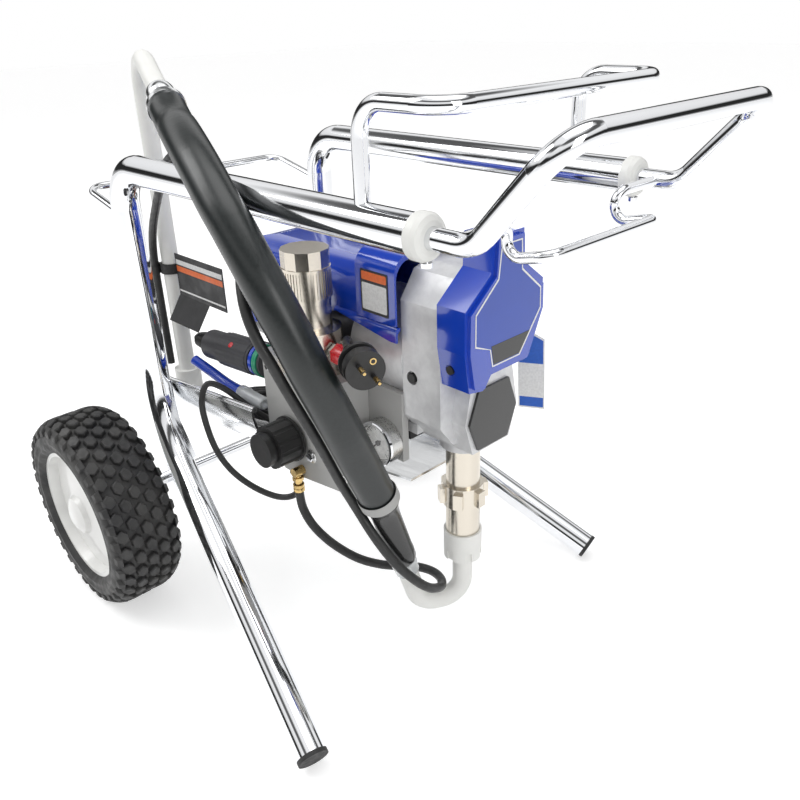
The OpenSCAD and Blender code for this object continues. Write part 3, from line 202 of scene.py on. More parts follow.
def clear_plastic():
    s = Shader("clear_plastic", (0.93, 0.95, 0.96), 0.12, Transmission_Weight=0.55, IOR=1.45)
    return s.rough_by(s.noise(60, 3), 0.08, 0.2).bump_by(s.noise(120, 2), 0.1, 0.0003).material


def lens_glass():
    s = Shader("lens_glass", (1, 1, 1), 0.02, Transmission_Weight=1.0, IOR=1.3)
    return s.rough_by(s.noise(40, 2), 0.01, 0.05).material


def printed_board(name, colour):
    s = Shader(name, colour, 0.5)
    s.tint_by(s.noise(400, 3), tuple(c * 0.88 for c in colour))
    return s.bump_by(s.noise(700, 3), 0.15, 0.0002).rough_by(s.noise(60, 3), 0.42, 0.58).material


CHROME, SHEET, CAST = chrome(), polished_sheet(), cast_metal()
NICKEL = turned_steel("nickel", (0.66, 0.61, 0.53), 0.24)
STEEL = turned_steel("steel")
BRASS = turned_steel("brass", (0.66, 0.47, 0.2), 0.26)
DARK_STEEL = dark_steel()
BLUE_GLOSS = plastic("blue_gloss", (0.008, 0.055, 0.5), 0.14, 0.03, 1.0)
BLUE_PANEL = plastic("blue_panel", (0.012, 0.06, 0.42), 0.3, 0.06, 0.5)
BLUE_TUBE = plastic("blue_tube", (0.01, 0.06, 0.55), 0.2, 0.05, 0.6)
WHITE_GLOSS = plastic("white_gloss", (0.85, 0.85, 0.83), 0.3, 0.08, 0.4)
WHITE_PLASTIC = plastic("white_plastic", (0.86, 0.86, 0.83), 0.42, 0.2)
BLACK_GLOSS = plastic("black_gloss", (0.012, 0.012, 0.012), 0.25, 0.08, 0.4)
BLACK_PLASTIC = plastic("black_plastic", (0.018, 0.018, 0.018), 0.42, 0.35)
DARK_PLASTIC = plastic("dark_plastic", (0.045, 0.045, 0.05), 0.48, 0.4)
GREY_PLASTIC = plastic("grey_plastic", (0.42, 0.42, 0.41), 0.5, 0.4)
RED_PLASTIC = plastic("red_plastic", (0.62, 0.012, 0.02), 0.28, 0.1, 0.4)
GREEN_PLASTIC = plastic("green_plastic", (0.02, 0.3, 0.16), 0.35)
CORD_RUBBER = rubber("cord_rubber", (0.018, 0.018, 0.018), 0.45)
PAD_RUBBER = rubber("pad_rubber", (0.02, 0.02, 0.02))
TYRE = tyre_rubber()
VINYL = sleeve_vinyl()
CLEAR, LENS = clear_plastic(), lens_glass()
BLACK_CARD = printed_board("black_card", (0.02, 0.02, 0.022))
WHITE_CARD = printed_board("white_card", (0.84, 0.84, 0.83))
BLUE_CARD = printed_board("blue_card", (0.02, 0.12, 0.55))
DIAL_WHITE = printed_board("dial_white", (0.88, 0.88, 0.86))
ORANGE_CARD = printed_board("orange_card", (0.85, 0.17, 0.04))

NODE_MATERIALS = {
    CHROME: "side_tube_right side_tube_left front_hose_rack rear_hose_rack pull_handle axle collar_screws",
    SHEET: "cradle",
    CAST: "drive_housing front_bell rear_bell",
    STEEL: "bearings crank_gear piston_rod intake_ball outlet_fitting gauge_case",
    NICKEL: "pump_cylinder jam_nut intake_housing manifold filter_cap",
    DARK_STEEL: "motor_can connecting_rod rotor",
    BLUE_GLOSS: "motor_shroud front_cover",
    BLUE_PANEL: "cover_panel",
    WHITE_GLOSS: "rim_right rim_left",
    WHITE_PLASTIC: "handle_collars handle_bushings suction_pipe inlet_pipe inlet_nut packings filter_element",
    PAD_RUBBER: "foot_plugs mount_pads hose_clips",
    BLACK_PLASTIC: "prime_knob pressure_knob power_switch cover_screws gauge_needle power_plug",
    BLACK_GLOSS: "badge_plate",
    DARK_PLASTIC: "cord_connector",
    GREY_PLASTIC: "control_box",
    RED_PLASTIC: "outlet_cap",
    BRASS: "prime_valve",
    TYRE: "tyre_right tyre_left",
    BLACK_CARD: "instruction_card",
    CORD_RUBBER: "power_cord cord_coil plug_lead drain_hose blue_hose",
    VINYL: "suction_sleeve",
}


def dress(obj, material):
    obj.data.materials.clear()
    obj.data.materials.append(material)


for material, names in NODE_MATERIALS.items():
    for name in names.split():
        dress(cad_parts[name], material)


# ---------- Mesh helpers ----------

def put(name, data, material, body="root", slot=None, replaces=()):
    obj = bpy.data.objects.new(name, data)
    bpy.context.scene.collection.objects.link(obj)
    dress(obj, material)
    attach(obj, body)
    if replaces:
        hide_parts(*replaces)
    return obj


def from_bmesh(name, bm, material, smooth=35, **more):
    """A finished bmesh as a piece, with edges under the angle shaded smooth."""
    bmesh.ops.remove_doubles(bm, verts=bm.verts, dist=1e-6)
    bmesh.ops.recalc_face_normals(bm, faces=bm.faces)
    limit = math.radians(smooth)
    for face in bm.faces:
        face.smooth = True
    for edge in bm.edges:
        edge.smooth = len(edge.link_faces) == 2 and edge.calc_face_angle(0) < limit
    mesh = bpy.data.meshes.new(name)
    bm.to_mesh(mesh)
    bm.free()
    return put(name, mesh, material, **more)


def facing(place, axis):
    """Matrix that stands local Z along an axis at a place, with local X level."""
    z = Vector(axis).normalized()
    x = Vector((0, 0, 1)).cross(z)
    x = x.normalized() if x.length > 1e-3 else Vector((1, 0, 0))
    return Matrix.Translation(place) @ Matrix((x, z.cross(x), z)).transposed().to_4x4()


def lathe(bm, profile, matrix, steps=64, wave=None, closed=False):
    """Turns a profile of (radius, height) in millimetres; wave(angle, height, radius) changes the radius.

    A closed profile runs round a bore and meets itself, and an open one ends in two flat faces.
    """
    rings = []
    for r, h in profile:
        ring = []
        for i in range(steps):
            a = 2 * math.pi * i / steps
            radius = wave(a, h, r) if wave else r
            ring.append(bm.verts.new(matrix @ Vector((radius * math.cos(a), radius * math.sin(a), h))))
        rings.append(ring)
    for low, high in zip(rings, rings[1:] + rings[:1] if closed else rings[1:]):
        for i in range(steps):
            j = (i + 1) % steps
            bm.faces.new((low[i], low[j], high[j], high[i]))
    if not closed:
        bm.faces.new(list(reversed(rings[0])))
        bm.faces.new(rings[-1])


def in_mm(place, axis):
    """Matrix for local millimetres, standing along an axis at a place."""
    return facing(place, axis) @ Matrix.Scale(0.001, 4)


def prism(bm, outline, low, high, matrix):
    """Extrudes an outline of (x, y) in millimetres from low to high along local Z."""
    rings = [[bm.verts.new(matrix @ Vector((x, y, z))) for x, y in outline] for z in (low, high)]
    count = len(outline)
    for i in range(count):
        j = (i + 1) % count
        bm.faces.new((rings[0][i], rings[0][j], rings[1][j], rings[1][i]))
    bm.faces.new(list(reversed(rings[0])))
    bm.faces.new(rings[1])


def band(bm, outer, inner, low, high, matrix):
    """A flat frame between two outlines with as many points each, from low to high along local Z."""
    rings = [[bm.verts.new(matrix @ Vector((x, y, z))) for x, y in line]
             for line, z in ((outer, low), (outer, high), (inner, high), (inner, low))]
    count = len(outer)
    for a, b in zip(rings, rings[1:] + rings[:1]):
        for i in range(count):
            j = (i + 1) % count
            bm.faces.new((a[i], a[j], b[j], b[i]))


def rounded_box(width, height, r, steps=6):
    """Outline of a rounded rectangle about the origin."""
    points = []
    for cx, cy, start in ((1, 1, 0), (-1, 1, 90), (-1, -1, 180), (1, -1, 270)):
        for k in range(steps + 1):
            a = math.radians(start + 90 * k / steps)
            points.append((cx * (width / 2 - r) + r * math.cos(a), cy * (height / 2 - r) + r * math.sin(a)))
    return points


def spline(points, steps):
    """The same Catmull-Rom curve as in the part's source."""
    p = [Vector(q) for q in points]
    line = []
    for i in range(len(p) - 1):
        a, b, c, d = p[max(i - 1, 0)], p[i], p[i + 1], p[min(i + 2, len(p) - 1)]
        for k in range(steps):
            t = k / steps
            line.append(0.5 * (2 * b + (c - a) * t + (2 * a - 5 * b + 4 * c - d) * t * t
                               + (3 * b - a - 3 * c + d) * t * t * t))
    return line + [p[-1]]


def resample(line, step):
    """The same line with its points an even step apart."""
    points, left = [line[0]], step
    for a, b in zip(line, line[1:]):
        span = (b - a).length
        along = left
        while along < span:
            points.append(a + (b - a) * (along / span))
            along += step
        left = along - span
    return points + [line[-1]]


def curve(name, line, diameter, material, sides=5, swell=None, **more):
    """A round tube along one open spline of points in millimetres; swell(i) scales its radius at a point."""
    data = bpy.data.curves.new(name, "CURVE")
    data.dimensions = "3D"
    data.bevel_depth, data.bevel_resolution, data.use_fill_caps = diameter / 2000, sides, True
    track = data.splines.new("POLY")
    track.points.add(len(line) - 1)
    for point, place in zip(track.points, line):
        point.co = (*at(*place), 1)
    if swell:
        for i, point in enumerate(track.points):
            point.radius = swell(i)
    track.use_smooth = True
    return put(name, data, material, **more)


# ---------- Cords and hoses ----------

BARB_Y = -108
FERRULE, SLEEVE_END, CUFF_END = (70, -115, 638), (383, -100, 246), (386, -72, 154)
PIPE_CORNER, INLET_CORNER = (-86, -60, 702), (388.5, -48.3, 76)
SLEEVE_D, CUFF_D, DRAIN_D = 42, 33, 11
SLEEVE_ROUTE = [
    FERRULE, (112, -130, 622), (162, -154, 621.5), (218, -175, 607), (256, -186, 589), (283, -192, 571),
    (305, -194, 552), (338, -193, 512), (362, -186, 468), (378, -173, 418), (385, -150, 359),
    (384, -134, 323), (383, -117, 285), SLEEVE_END]
DRAIN_ROUTE = [
    (243, BARB_Y, 211.7), (243, BARB_Y, 198), (248, -108, 176), (262, -104, 154), (284, -94, 134),
    (308, -77, 116), (327, -57, 105), (343, -38, 100), (361.5, -23, 100), (384, -19, 102.5),
    (405, -27, 107), (420, -44.5, 115), (424, -67, 129), (418, -85, 148), (403, -100, 172),
    (385, -112, 204), (362, -119.5, 240), (361.5, -136.5, 277), (363, -153, 315), (364, -169, 351),
    (363, -182, 380), (359, -193, 408), (353, -201, 433), (344, -207, 455), (329, -206, 477),
    (314, -199, 497), (300, -188, 518), (287, -180, 537), (272, -177, 550), (256, -177.5, 559.5),
    (238, -176.5, 567), (220, -175, 575), (200, -170.5, 583.5), (180, -166, 588.5), (160, -156.5, 594),
    (135, -142, 593.5), (110, -134, 591), (84, -128, 584), (46, -118, 567), (10, -107, 541),
    (-26, -98, 511), (-60, -90, 478), (-84, -83, 448), (-96, -79, 418), (-101, -77, 388),
    (-101, -77, 300), (-101, -77, 262)]
PLUG_TAIL, PLUG_AXIS, PLUG_TURN = (367, -118, 426), (0.914, -0.402, -0.02), -41
PLUG_ROUTE = [
    (316, -72, 383), (318.5, -75, 401), (325, -82.5, 413), (334.5, -92, 420.5), (345.5, -103, 424.5),
    (357, -112, 426), PLUG_TAIL]
BLUE_ROUTE = [(8, -96, 304), (40, -90, 293), (70, -86, 284), (100, -84, 281)]
BLUE_END, BLUE_D = (150, -83, 279), 14
CORD_D, COIL_R, COIL_TURNS, COIL_LEAN = 8, 34, 3, 14
COIL_PITCH = CORD_D + 0.9
COIL_AT = (105, -34, 241)
CONNECTOR = (Vector((22, -72, 324)), Vector((148, -66, 331)))
CONNECTOR_AXIS = (CONNECTOR[1] - CONNECTOR[0]).normalized()
CONNECTOR_BACK = CONNECTOR[0] - CONNECTOR_AXIS * 34
GLAND, GLAND_LEN, BOX_TOP = (222, -92, 215), 14, 369


def coil_point(t):
    """Point of the coil after t turns: in along one layer and out again on the next."""
    inward = t if t < COIL_TURNS else 2 * COIL_TURNS - t
    r = COIL_R + COIL_PITCH * (COIL_TURNS - inward)
    up = min(max(t - COIL_TURNS + 0.5, 0), 1)
    a = 2 * math.pi * t
    return Vector((r * math.cos(a), r * math.sin(a), COIL_PITCH * (3 * up * up - 2 * up ** 3)))


def from_coil(p):
    lean = math.radians(COIL_LEAN)
    return Vector((COIL_AT[0] + p.x, COIL_AT[1] + p.y * math.cos(lean) + p.z * math.sin(lean),
                   COIL_AT[2] - p.y * math.sin(lean) + p.z * math.cos(lean)))


def mains_line():
    """The whole power cord: from its gland, through the coil, to the back of the connector."""
    tail = Vector((0, CORD_D, 0))
    turns = [from_coil(coil_point(i / 24)) for i in range(24 * 2 * COIL_TURNS + 1)]
    start = from_coil(coil_point(0) - tail)
    finish = from_coil(coil_point(2 * COIL_TURNS) + tail)
    route = [(222, -92, 203), (222, -93, 190), (214, -98, 176), (196, -110, 172), (170, -126, 182),
             (145, -140, 202), (125, -147, 228), (112, -149, 262), (106, -147, 292), (106, -136, 312),
             (118, -120, 304), (142, -102, 280), (163, -78, 255), (165.6, -58, 247), start]
    lead = [finish, (165, -14, 246), (156, 12, 248), (128, 34, 260), (80, 40, 276), (24, 22, 292),
            (-18, -16, 306), (-34, -52, 317), (-24, -70, 321), CONNECTOR_BACK]
    return spline(route, 5)[:-1] + [start] + turns + [finish] + spline(lead, 5)[1:]


# Profiles of the small turned pieces, as (radius, height)
INLET_COLLAR = [(12.1, 0.5), (15.5, 0.5), (15.5, 9), (14.4, 12), (14.4, 20), (12.1, 22)]
STRAP = [(22.6, 0), (23.1, 0.6), (23.1, 12.4), (22.6, 13), (22.3, 6)]
CRIMPED_FERRULE = [
    (16.1, -6), (22.2, -6), (22.4, -3), (22.2, 1), (17.4, 3), (16.7, 6), (16.7, 12), (16.2, 13), (16.2, 16),
    (16.7, 17), (16.7, 29), (16.2, 31), (15.8, 33.2), (12.1, 33.4), (12.1, 32), (16.05, 32)]
DRAIN_CRIMP = [(5.6, 0), (7, 0.6), (7, 4), (6.4, 5), (7, 6), (7, 10), (5.6, 11)]
CLIP_EYE, CLIP_AT = [(5.7, 0), (7.6, 0), (8, 2), (8, 12), (7.6, 14), (5.7, 14)], (-100, -77.5, 402)
GLAND_NUT = [(7.5, 0), (10.5, 0), (10.5, 3.4), (7.5, 4)]
GRIP = [(20.5, 35), (22.3, 37), (22.3, 99), (20.5, 101)]
PIN_TIP, PIN_SIDE = [(2.5, 61), (2.5, 71.6), (2, 72.8), (1, 73.3)], 9.5
EARTH_RING, EARTH_SIDE = [(3.4, 53.6), (3.4, 54.6), (2.2, 54.6), (2.2, 53.6)], -11.5
CLEAR_END = [(4.4, -2), (8.4, -2), (9.6, 1), (9.6, 12), (8.6, 14), (8.6, 46), (8, 49), (6.2, 50), (5.4, 49),
             (5.4, 14)]


def way(start, end):
    """Unit direction from one place in millimetres to another."""
    return (Vector(end) - Vector(start)).normalized()


def turned(name, profile, place, axis, material, steps=48, wave=None, closed=False, **more):
    """One lathed piece that stands on a place along an axis, all in millimetres."""
    bm = bmesh.new()
    lathe(bm, profile, in_mm(at(*place), axis), steps, wave, closed)
    return from_bmesh(name, bm, material, **more)


def ribs(low, high, start_r, end_r, count, depth):
    """Profile of a strain relief: a tapered stem with ridges round it."""
    profile = []
    for i in range(count):
        r = start_r + (end_r - start_r) * i / max(count - 1, 1)
        z, pitch = low + (high - low) * i / count, (high - low) / count
        profile += [(r, z), (r + depth, z + 0.2 * pitch), (r + depth, z + 0.6 * pitch), (r, z + 0.75 * pitch)]
    return profile + [(end_r, high)]


def make_sleeve():
    line = resample(spline(SLEEVE_ROUTE, 8), 1.6)
    piece = curve("suction_sleeve_cover", line, SLEEVE_D, VINYL, 12, swell=lambda i: 1 if i % 2 else 0.985,
                  slot="sleeve_fabric", replaces=("suction_sleeve",))
    # Cuff that steps down to a clear collar on the inlet pipe
    span = (Vector(CUFF_END) - Vector(SLEEVE_END)).length
    r = CUFF_D / 2
    cuff = [(20.5, -3), (20.8, 3), (19, 8), (r + 0.6, 14), (r, 24), (r, span - 18), (r + 0.5, span - 16),
            (r + 0.5, span - 3), (r - 1, span)]
    turned("sleeve_cuff", cuff, SLEEVE_END, way(SLEEVE_END, CUFF_END), BLACK_GLOSS, slot="black_rubber")
    turned("inlet_collar", INLET_COLLAR, CUFF_END, way(CUFF_END, INLET_CORNER), CLEAR, closed=True)
    # Grey strap round the sleeve's lower end
    strap = way(SLEEVE_ROUTE[-2], SLEEVE_END)
    place = Vector(SLEEVE_END) - strap * 12.5
    turned("sleeve_strap", STRAP, place, strap, GREY_PLASTIC, closed=True)
    # Crimped ferrule between the sleeve and the white pipe
    up = way(FERRULE, PIPE_CORNER)
    turned("sleeve_ferrule", CRIMPED_FERRULE, FERRULE, up, SHEET, closed=True)


def make_drain():
    line = resample(spline(DRAIN_ROUTE, 6), 4)
    piece = curve("drain_tube", line, DRAIN_D, CORD_RUBBER, 6, slot="black_rubber", replaces=("drain_hose",))
    # Crimp on the barb, and the eye of the clip that ties the tube to the white pipe
    turned("drain_crimp", DRAIN_CRIMP, DRAIN_ROUTE[0], (0, 0, -1), BRASS, closed=True)
    turned("drain_clip_eye", CLIP_EYE, CLIP_AT, (0, 0, 1), BLACK_PLASTIC, closed=True)


def make_mains():
    mains = mains_line()
    piece = curve("mains_cord", mains, CORD_D, CORD_RUBBER, 6, slot="black_rubber",
                  replaces=("power_cord", "cord_coil"))
    turned("cord_gland", [(7.4, 0), (7.4, 4)] + ribs(4, GLAND_LEN, 6.2, 4.8, 4, 0.9) + [(4.3, GLAND_LEN)],
           GLAND, (0, 0, -1), BLACK_PLASTIC, slot="black_rubber")
    turned("cord_gland_nut", GLAND_NUT, GLAND, (0, 0, -1), BLACK_PLASTIC, 6, closed=True)
    lead = resample(spline(PLUG_ROUTE, 8), 2)
    piece = curve("plug_cord", lead, CORD_D, CORD_RUBBER, 6, slot="black_rubber", replaces=("plug_lead",))
    foot = (PLUG_ROUTE[0][0], PLUG_ROUTE[0][1], BOX_TOP)
    turned("plug_cord_gland", [(7.4, 0.1), (7.4, 4)] + ribs(4, GLAND_LEN, 6.2, 4.8, 4, 0.9), foot, (0, 0, 1),
           BLACK_PLASTIC, slot="black_rubber")


def make_connector():
    """Ribs, grip and coloured rings of the extension connector in the cradle."""
    tail = CONNECTOR_BACK
    turned("connector_relief", ribs(1, 33, 7.9, 12.4, 8, 1.3), tail, CONNECTOR_AXIS, BLACK_PLASTIC)
    turned("connector_grip", GRIP, CONNECTOR[0], CONNECTOR_AXIS, DARK_PLASTIC, 96,
           wave=lambda a, h, r: r + 0.7 * abs(math.cos(9 * a)) * (r > 22))
    for name, low, high, material in (("connector_blue_ring", 105.5, 112, BLUE_TUBE),
                                      ("connector_green_ring", 113, 122, GREEN_PLASTIC)):
        ring = [(20.1, low), (21.6, low + 0.6), (21.6, high - 0.6), (20.1, high)]
        turned(name, ring, CONNECTOR[0], CONNECTOR_AXIS, material)
    out = Vector((0.35, -0.62, 0.7))
    out = (out - CONNECTOR_AXIS * out.dot(CONNECTOR_AXIS)).normalized()
    place = CONNECTOR[0] + CONNECTOR_AXIS * 66 + out * 22.2
    turned("connector_mark", [(4, -1), (4, 0.9), (3, 1.4)], place, out, RED_PLASTIC, 24)


def along(place, axis, turn=0):
    """Matrix of local millimetres as in the part's source: tilted about Y, then turned about Z."""
    v = Vector(axis)
    tilt, round_z = math.acos(v.z / v.length), math.atan2(v.y, v.x)
    return (Matrix.Translation(at(*place)) @ Matrix.Rotation(round_z, 4, "Z") @ Matrix.Rotation(tilt, 4, "Y")
            @ Matrix.Rotation(math.radians(turn), 4, "Z") @ Matrix.Scale(0.001, 4))


def make_plug():
    """Ribbed relief, metal pin tips and earth contact of the mains plug."""
    frame_mm = along(PLUG_TAIL, PLUG_AXIS, PLUG_TURN)
    bm = bmesh.new()
    lathe(bm, ribs(0.5, 23.5, 5.6, 8, 6, 1.2), frame_mm, 40)
    lathe(bm, [(19.9, 30), (20.6, 31), (20.6, 33), (19.9, 34)], frame_mm, 48)
    from_bmesh("plug_relief", bm, BLACK_PLASTIC)
    bm = bmesh.new()
    for side in (-PIN_SIDE, PIN_SIDE):
        lathe(bm, PIN_TIP, frame_mm @ Matrix.Translation((0, side, 0)), 24)
    earth = frame_mm @ Matrix.Translation((EARTH_SIDE, 0, 0))
    lathe(bm, EARTH_RING, earth, 24, closed=True)
    from_bmesh("plug_contacts", bm, BRASS)
    # Black disc inside the earth contact's bore: painted shade for the dark inside of its hole
    bm = bmesh.new()
    lathe(bm, [(2.1, 53.9), (2.1, 54.25)], earth, 24)
    from_bmesh("plug_earth_hole_painted_shade", bm, BLACK_CARD)


def make_blue_hose():
    line = resample(spline(BLUE_ROUTE, 8), 2)
    piece = curve("blue_tube", line, BLUE_D, BLUE_TUBE, 8, slot="blue_tube", replaces=("blue_hose",))
    end = turned("blue_tube_end", CLEAR_END, BLUE_ROUTE[-1], way(BLUE_ROUTE[-1], BLUE_END), CLEAR,
                 closed=True, slot="white_plastic")


make_sleeve()
make_drain()
make_mains()
make_connector()
make_plug()
make_blue_hose()

# ---------- Tyres ----------

AXLE, WHEEL_Y, TYRE_R, RIM_R = (-14, 133.5), 251.5, 133.4, 89.6
BLOCK_ROWS, BLOCKS_ROUND, GROOVE = 5, 34, 6.5
BLOCK = [(-9.4, 0.6), (-4.6, 6.4), (4.8, 7.0), (9.4, -0.6), (4.6, -6.4), (-4.8, -7.0)]
LUG, LUG_MIDDLE = [(-7.5, -3.2), (-5.5, 3.4), (5.5, 3.4), (7.5, -3.2)], 41.2
ROW_SPREAD = 16.4
SIDE_WALL = [(113, 44.6), (109, 45.3), (106.5, 45.5), (105.5, 44.9), (101, 44.6), (97.5, 44.9), (96, 44),
             (93, 41.5)]


def tread_r(h):
    """Radius over the tread blocks at a distance from the tyre's middle plane."""
    return TYRE_R - 0.022 * max(abs(h) - 22, 0) ** 2


def tread_block(bm, matrix, angle, middle, outline):
    """One block that stands on the carcass, a little narrower at its top."""
    rings = []
    for share, lift in ((1.08, -GROOVE - 0.6), (1.0, -1.4), (0.84, 0)):
        ring = []
        for s, t in outline:
            h = middle + t * share
            a, r = angle + s * share / TYRE_R, tread_r(h) + lift
            ring.append(bm.verts.new(matrix @ Vector((r * math.cos(a), r * math.sin(a), h))))
        rings.append(ring)
    count = len(outline)
    for low, high in zip(rings, rings[1:]):
        for i in range(count):
            j = (i + 1) % count
            bm.faces.new((low[i], low[j], high[j], high[i]))
    bm.faces.new(list(reversed(rings[0])))
    bm.faces.new(rings[-1])


def make_tyre(side, name):
    """Carcass with staggered rows of tread blocks and a row of lugs on each shoulder."""
    matrix = in_mm(at(AXLE[0], side * WHEEL_Y, AXLE[1]), (0, side, 0))
    bm = bmesh.new()
    crown = [(tread_r(h) - GROOVE, h) for h in range(-42, 43, 6)]
    wall = SIDE_WALL + [(RIM_R, 38)]
    lathe(bm, [(r, -h) for r, h in reversed(wall)] + crown + wall, matrix, 96, closed=True)
    pitch = 2 * math.pi / BLOCKS_ROUND
    for row in range(BLOCK_ROWS):
        middle = (row - (BLOCK_ROWS - 1) / 2) * ROW_SPREAD
        for i in range(BLOCKS_ROUND):
            tread_block(bm, matrix, (i + 0.5 * (row % 2)) * pitch, middle, BLOCK)
    for edge in (-1, 1):
        for i in range(BLOCKS_ROUND):
            outline = [(s, edge * t) for s, t in LUG]
            tread_block(bm, matrix, (i + 0.5) * pitch, edge * LUG_MIDDLE, outline)
    from_bmesh(f"tyre_tread_{name}", bm, TYRE, 28, body=f"wheel_{name}", replaces=(f"tyre_{name}",))


make_tyre(-1, "right")
make_tyre(1, "left")

# ---------- Gauge, cover, label and card ----------

GAUGE_AT, GAUGE_Y, GAUGE_BED, TICK_H = (355, 297), -61.3, 12, 0.07
DIAL_R, TICKS, TICK_ARC = 21.5, 28, 270
COVER_FRONT, SHROUD_SIDE = 475, -66.2


def make_gauge():
    """Dial, ticks, lens and bezel of the pressure gauge."""
    face = in_mm(at(GAUGE_AT[0], GAUGE_Y, GAUGE_AT[1]), (0, -1, 0))
    bm = bmesh.new()
    dial = GAUGE_BED + 0.1
    lathe(bm, [(DIAL_R + 0.7, GAUGE_BED + 0.01), (DIAL_R + 0.7, dial)], face, 64)
    from_bmesh("gauge_dial", bm, DIAL_WHITE)
    bm = bmesh.new()
    for i in range(TICKS):
        a = math.radians(225 - TICK_ARC * i / (TICKS - 1))
        long = i % 3 == 0
        outer, inner, half = DIAL_R - 1.5, DIAL_R - (6.5 if long else 4), 0.34 if long else 0.18
        turn = face @ Matrix.Rotation(a, 4, "Z")
        prism(bm, [(inner, -half), (outer, -half), (outer, half), (inner, half)], dial, dial + TICK_H, turn)
    ring = [(DIAL_R - 0.9, dial), (DIAL_R - 0.5, dial + TICK_H), (DIAL_R - 1.2, dial + TICK_H)]
    lathe(bm, ring, face, 64, closed=True)
    from_bmesh("gauge_ticks", bm, BLACK_CARD)
    bm = bmesh.new()
    lathe(bm, [(DIAL_R + 0.9, 16.6), (DIAL_R + 0.9, 17.5)], face, 64)
    from_bmesh("gauge_lens", bm, LENS)
    bm = bmesh.new()
    bezel = [(22.2, 17.2), (23.2, 18.6), (25, 19), (26.4, 18), (26.6, 15), (26.1, 14.4), (25, 17.6)]
    lathe(bm, bezel, face, 64, closed=True)
    from_bmesh("gauge_bezel", bm, CHROME)


def panel_outline(t):
    """Outline of the cover's inset, as (y, z), pulled in by t."""
    return [(-20 + t, 498 - t), (-52 + t, 470 - t), (-52 + t, 436 + t), (-30 + t, 428), (-26 + t, 408 + t),
            (18 - t, 408 + t), (50 - t, 450 + t), (49 - t, 474 - t), (18 - t, 500 - t), (16 - t, 530 - t),
            (-16 + t, 530 - t)]


def make_cover_details():
    """White outline and dark field on the cover's inset, and a bare plate on the shroud."""
    front = in_mm(at(COVER_FRONT, 0, 0), (1, 0, 0))
    bm = bmesh.new()
    band(bm, panel_outline(0.4), panel_outline(1.7), -0.05, 0.35, front)
    from_bmesh("cover_outline", bm, WHITE_GLOSS)
    bm = bmesh.new()
    prism(bm, [(-23.6, 410.6), (16.4, 410.6), (33.5, 431), (-27.4, 431)], -0.05, 0.25, front)
    from_bmesh("cover_dark_field", bm, BLACK_GLOSS)
    # Bare plate on the shroud's shoulder
    side = in_mm(at(351, SHROUD_SIDE, 468), (0, -1, 0))
    for name, width, height, shift, top, material in (
            ("shroud_plate", 41, 46, 0, 0.3, BLACK_CARD),
            ("shroud_plate_head", 37, 9, 16.5, 0.42, ORANGE_CARD),
            ("shroud_plate_field", 37, 29, -5.5, 0.42, WHITE_CARD)):
        bm = bmesh.new()
        prism(bm, rounded_box(width, height, 1.6, 3), -0.1, top, side @ Matrix.Translation((0, shift, 0)))
        from_bmesh(name, bm, material)


def make_card_bands():
    """Bare coloured bands across the folded instruction card."""
    for name, low, high, material in (
            ("card_white_band", 417, 424, WHITE_CARD), ("card_orange_band", 407, 415, ORANGE_CARD),
            ("card_foot_band", 378, 380.5, WHITE_CARD)):
        bm = bmesh.new()
        near = in_mm(at(-70.7, -60.6, 0), (0, -1, 0))
        prism(bm, [(2, low), (118, low), (118, high), (2, high)], -0.02, 0.16, near)
        from_bmesh(name, bm, material)


def make_fasteners():
    """Hexagonal screws with washers on the near face of the control box."""
    for name, place, r in (("box_screw", (265, -100, 255), 6), ("box_screw_low", (322, -100, 246), 4.5),
                           ("box_screw_top", (196, -100, 352), 4.5)):
        turned(name + "_washer", [(r + 2.6, -0.3), (r + 2.6, 0.9), (r + 2, 1.3)], place, (0, -1, 0), STEEL)
        turned(name, [(r, 1.2), (r, 4.4), (r - 0.9, 5.2)], place, (0, -1, 0), CHROME, 6)


def make_tag():
    """Bare card tag that hangs from the far screw of the drive housing, by a string stuck down its back."""
    knot = (395, 60.5, 383)
    across, drop, facing_out = Vector((0.87, 0.49, 0)), Vector((0.04, 0.02, -0.999)), Vector((0.49, -0.87, 0))
    matrix = (Matrix.Translation(at(437, 85, 392)) @ Matrix((across, -drop, facing_out)).transposed().to_4x4()
              @ Matrix.Scale(0.001, 4))
    for name, outline, top, material in (
            ("hang_tag", [(-13, 4), (-6, 10), (6, 10), (17, 4), (17, -82), (-13, -82)], 0.5, WHITE_CARD),
            ("hang_tag_head", [(-11.5, 2), (-6, 7), (6, 7), (15.5, 2), (15.5, -26), (-11.5, -26)], 0.62,
             BLUE_CARD),
            ("hang_tag_foot", [(-11.5, -68), (15.5, -68), (15.5, -80), (-11.5, -80)], 0.62, BLUE_CARD)):
        bm = bmesh.new()
        prism(bm, outline, 0, top, matrix)
        piece = from_bmesh(name, bm, material, slot="card")
    line = spline([knot, (408, 69, 377), (423, 80, 384), (434, 86.5, 397), (436.6, 86.3, 388),
                   (438.2, 87, 347)], 8)
    string = curve("tag_string", line, 1.2, WHITE_PLASTIC, 3, slot="white_plastic")


make_tag()
make_gauge()
make_cover_details()
make_card_bands()
make_fasteners()

# ---------- Studio ----------


def area_light(name, place, target, size, power):
    light = bpy.data.objects.new(name, bpy.data.lights.new(name, "AREA"))
    light.data.energy, light.data.shape = power, "RECTANGLE"
    light.data.size, light.data.size_y = size
    bpy.context.scene.collection.objects.link(light)
    light.location = place
    light.rotation_mode = "QUATERNION"
    light.rotation_quaternion = (Vector(target) - Vector(place)).to_track_quat("-Z", "Y")


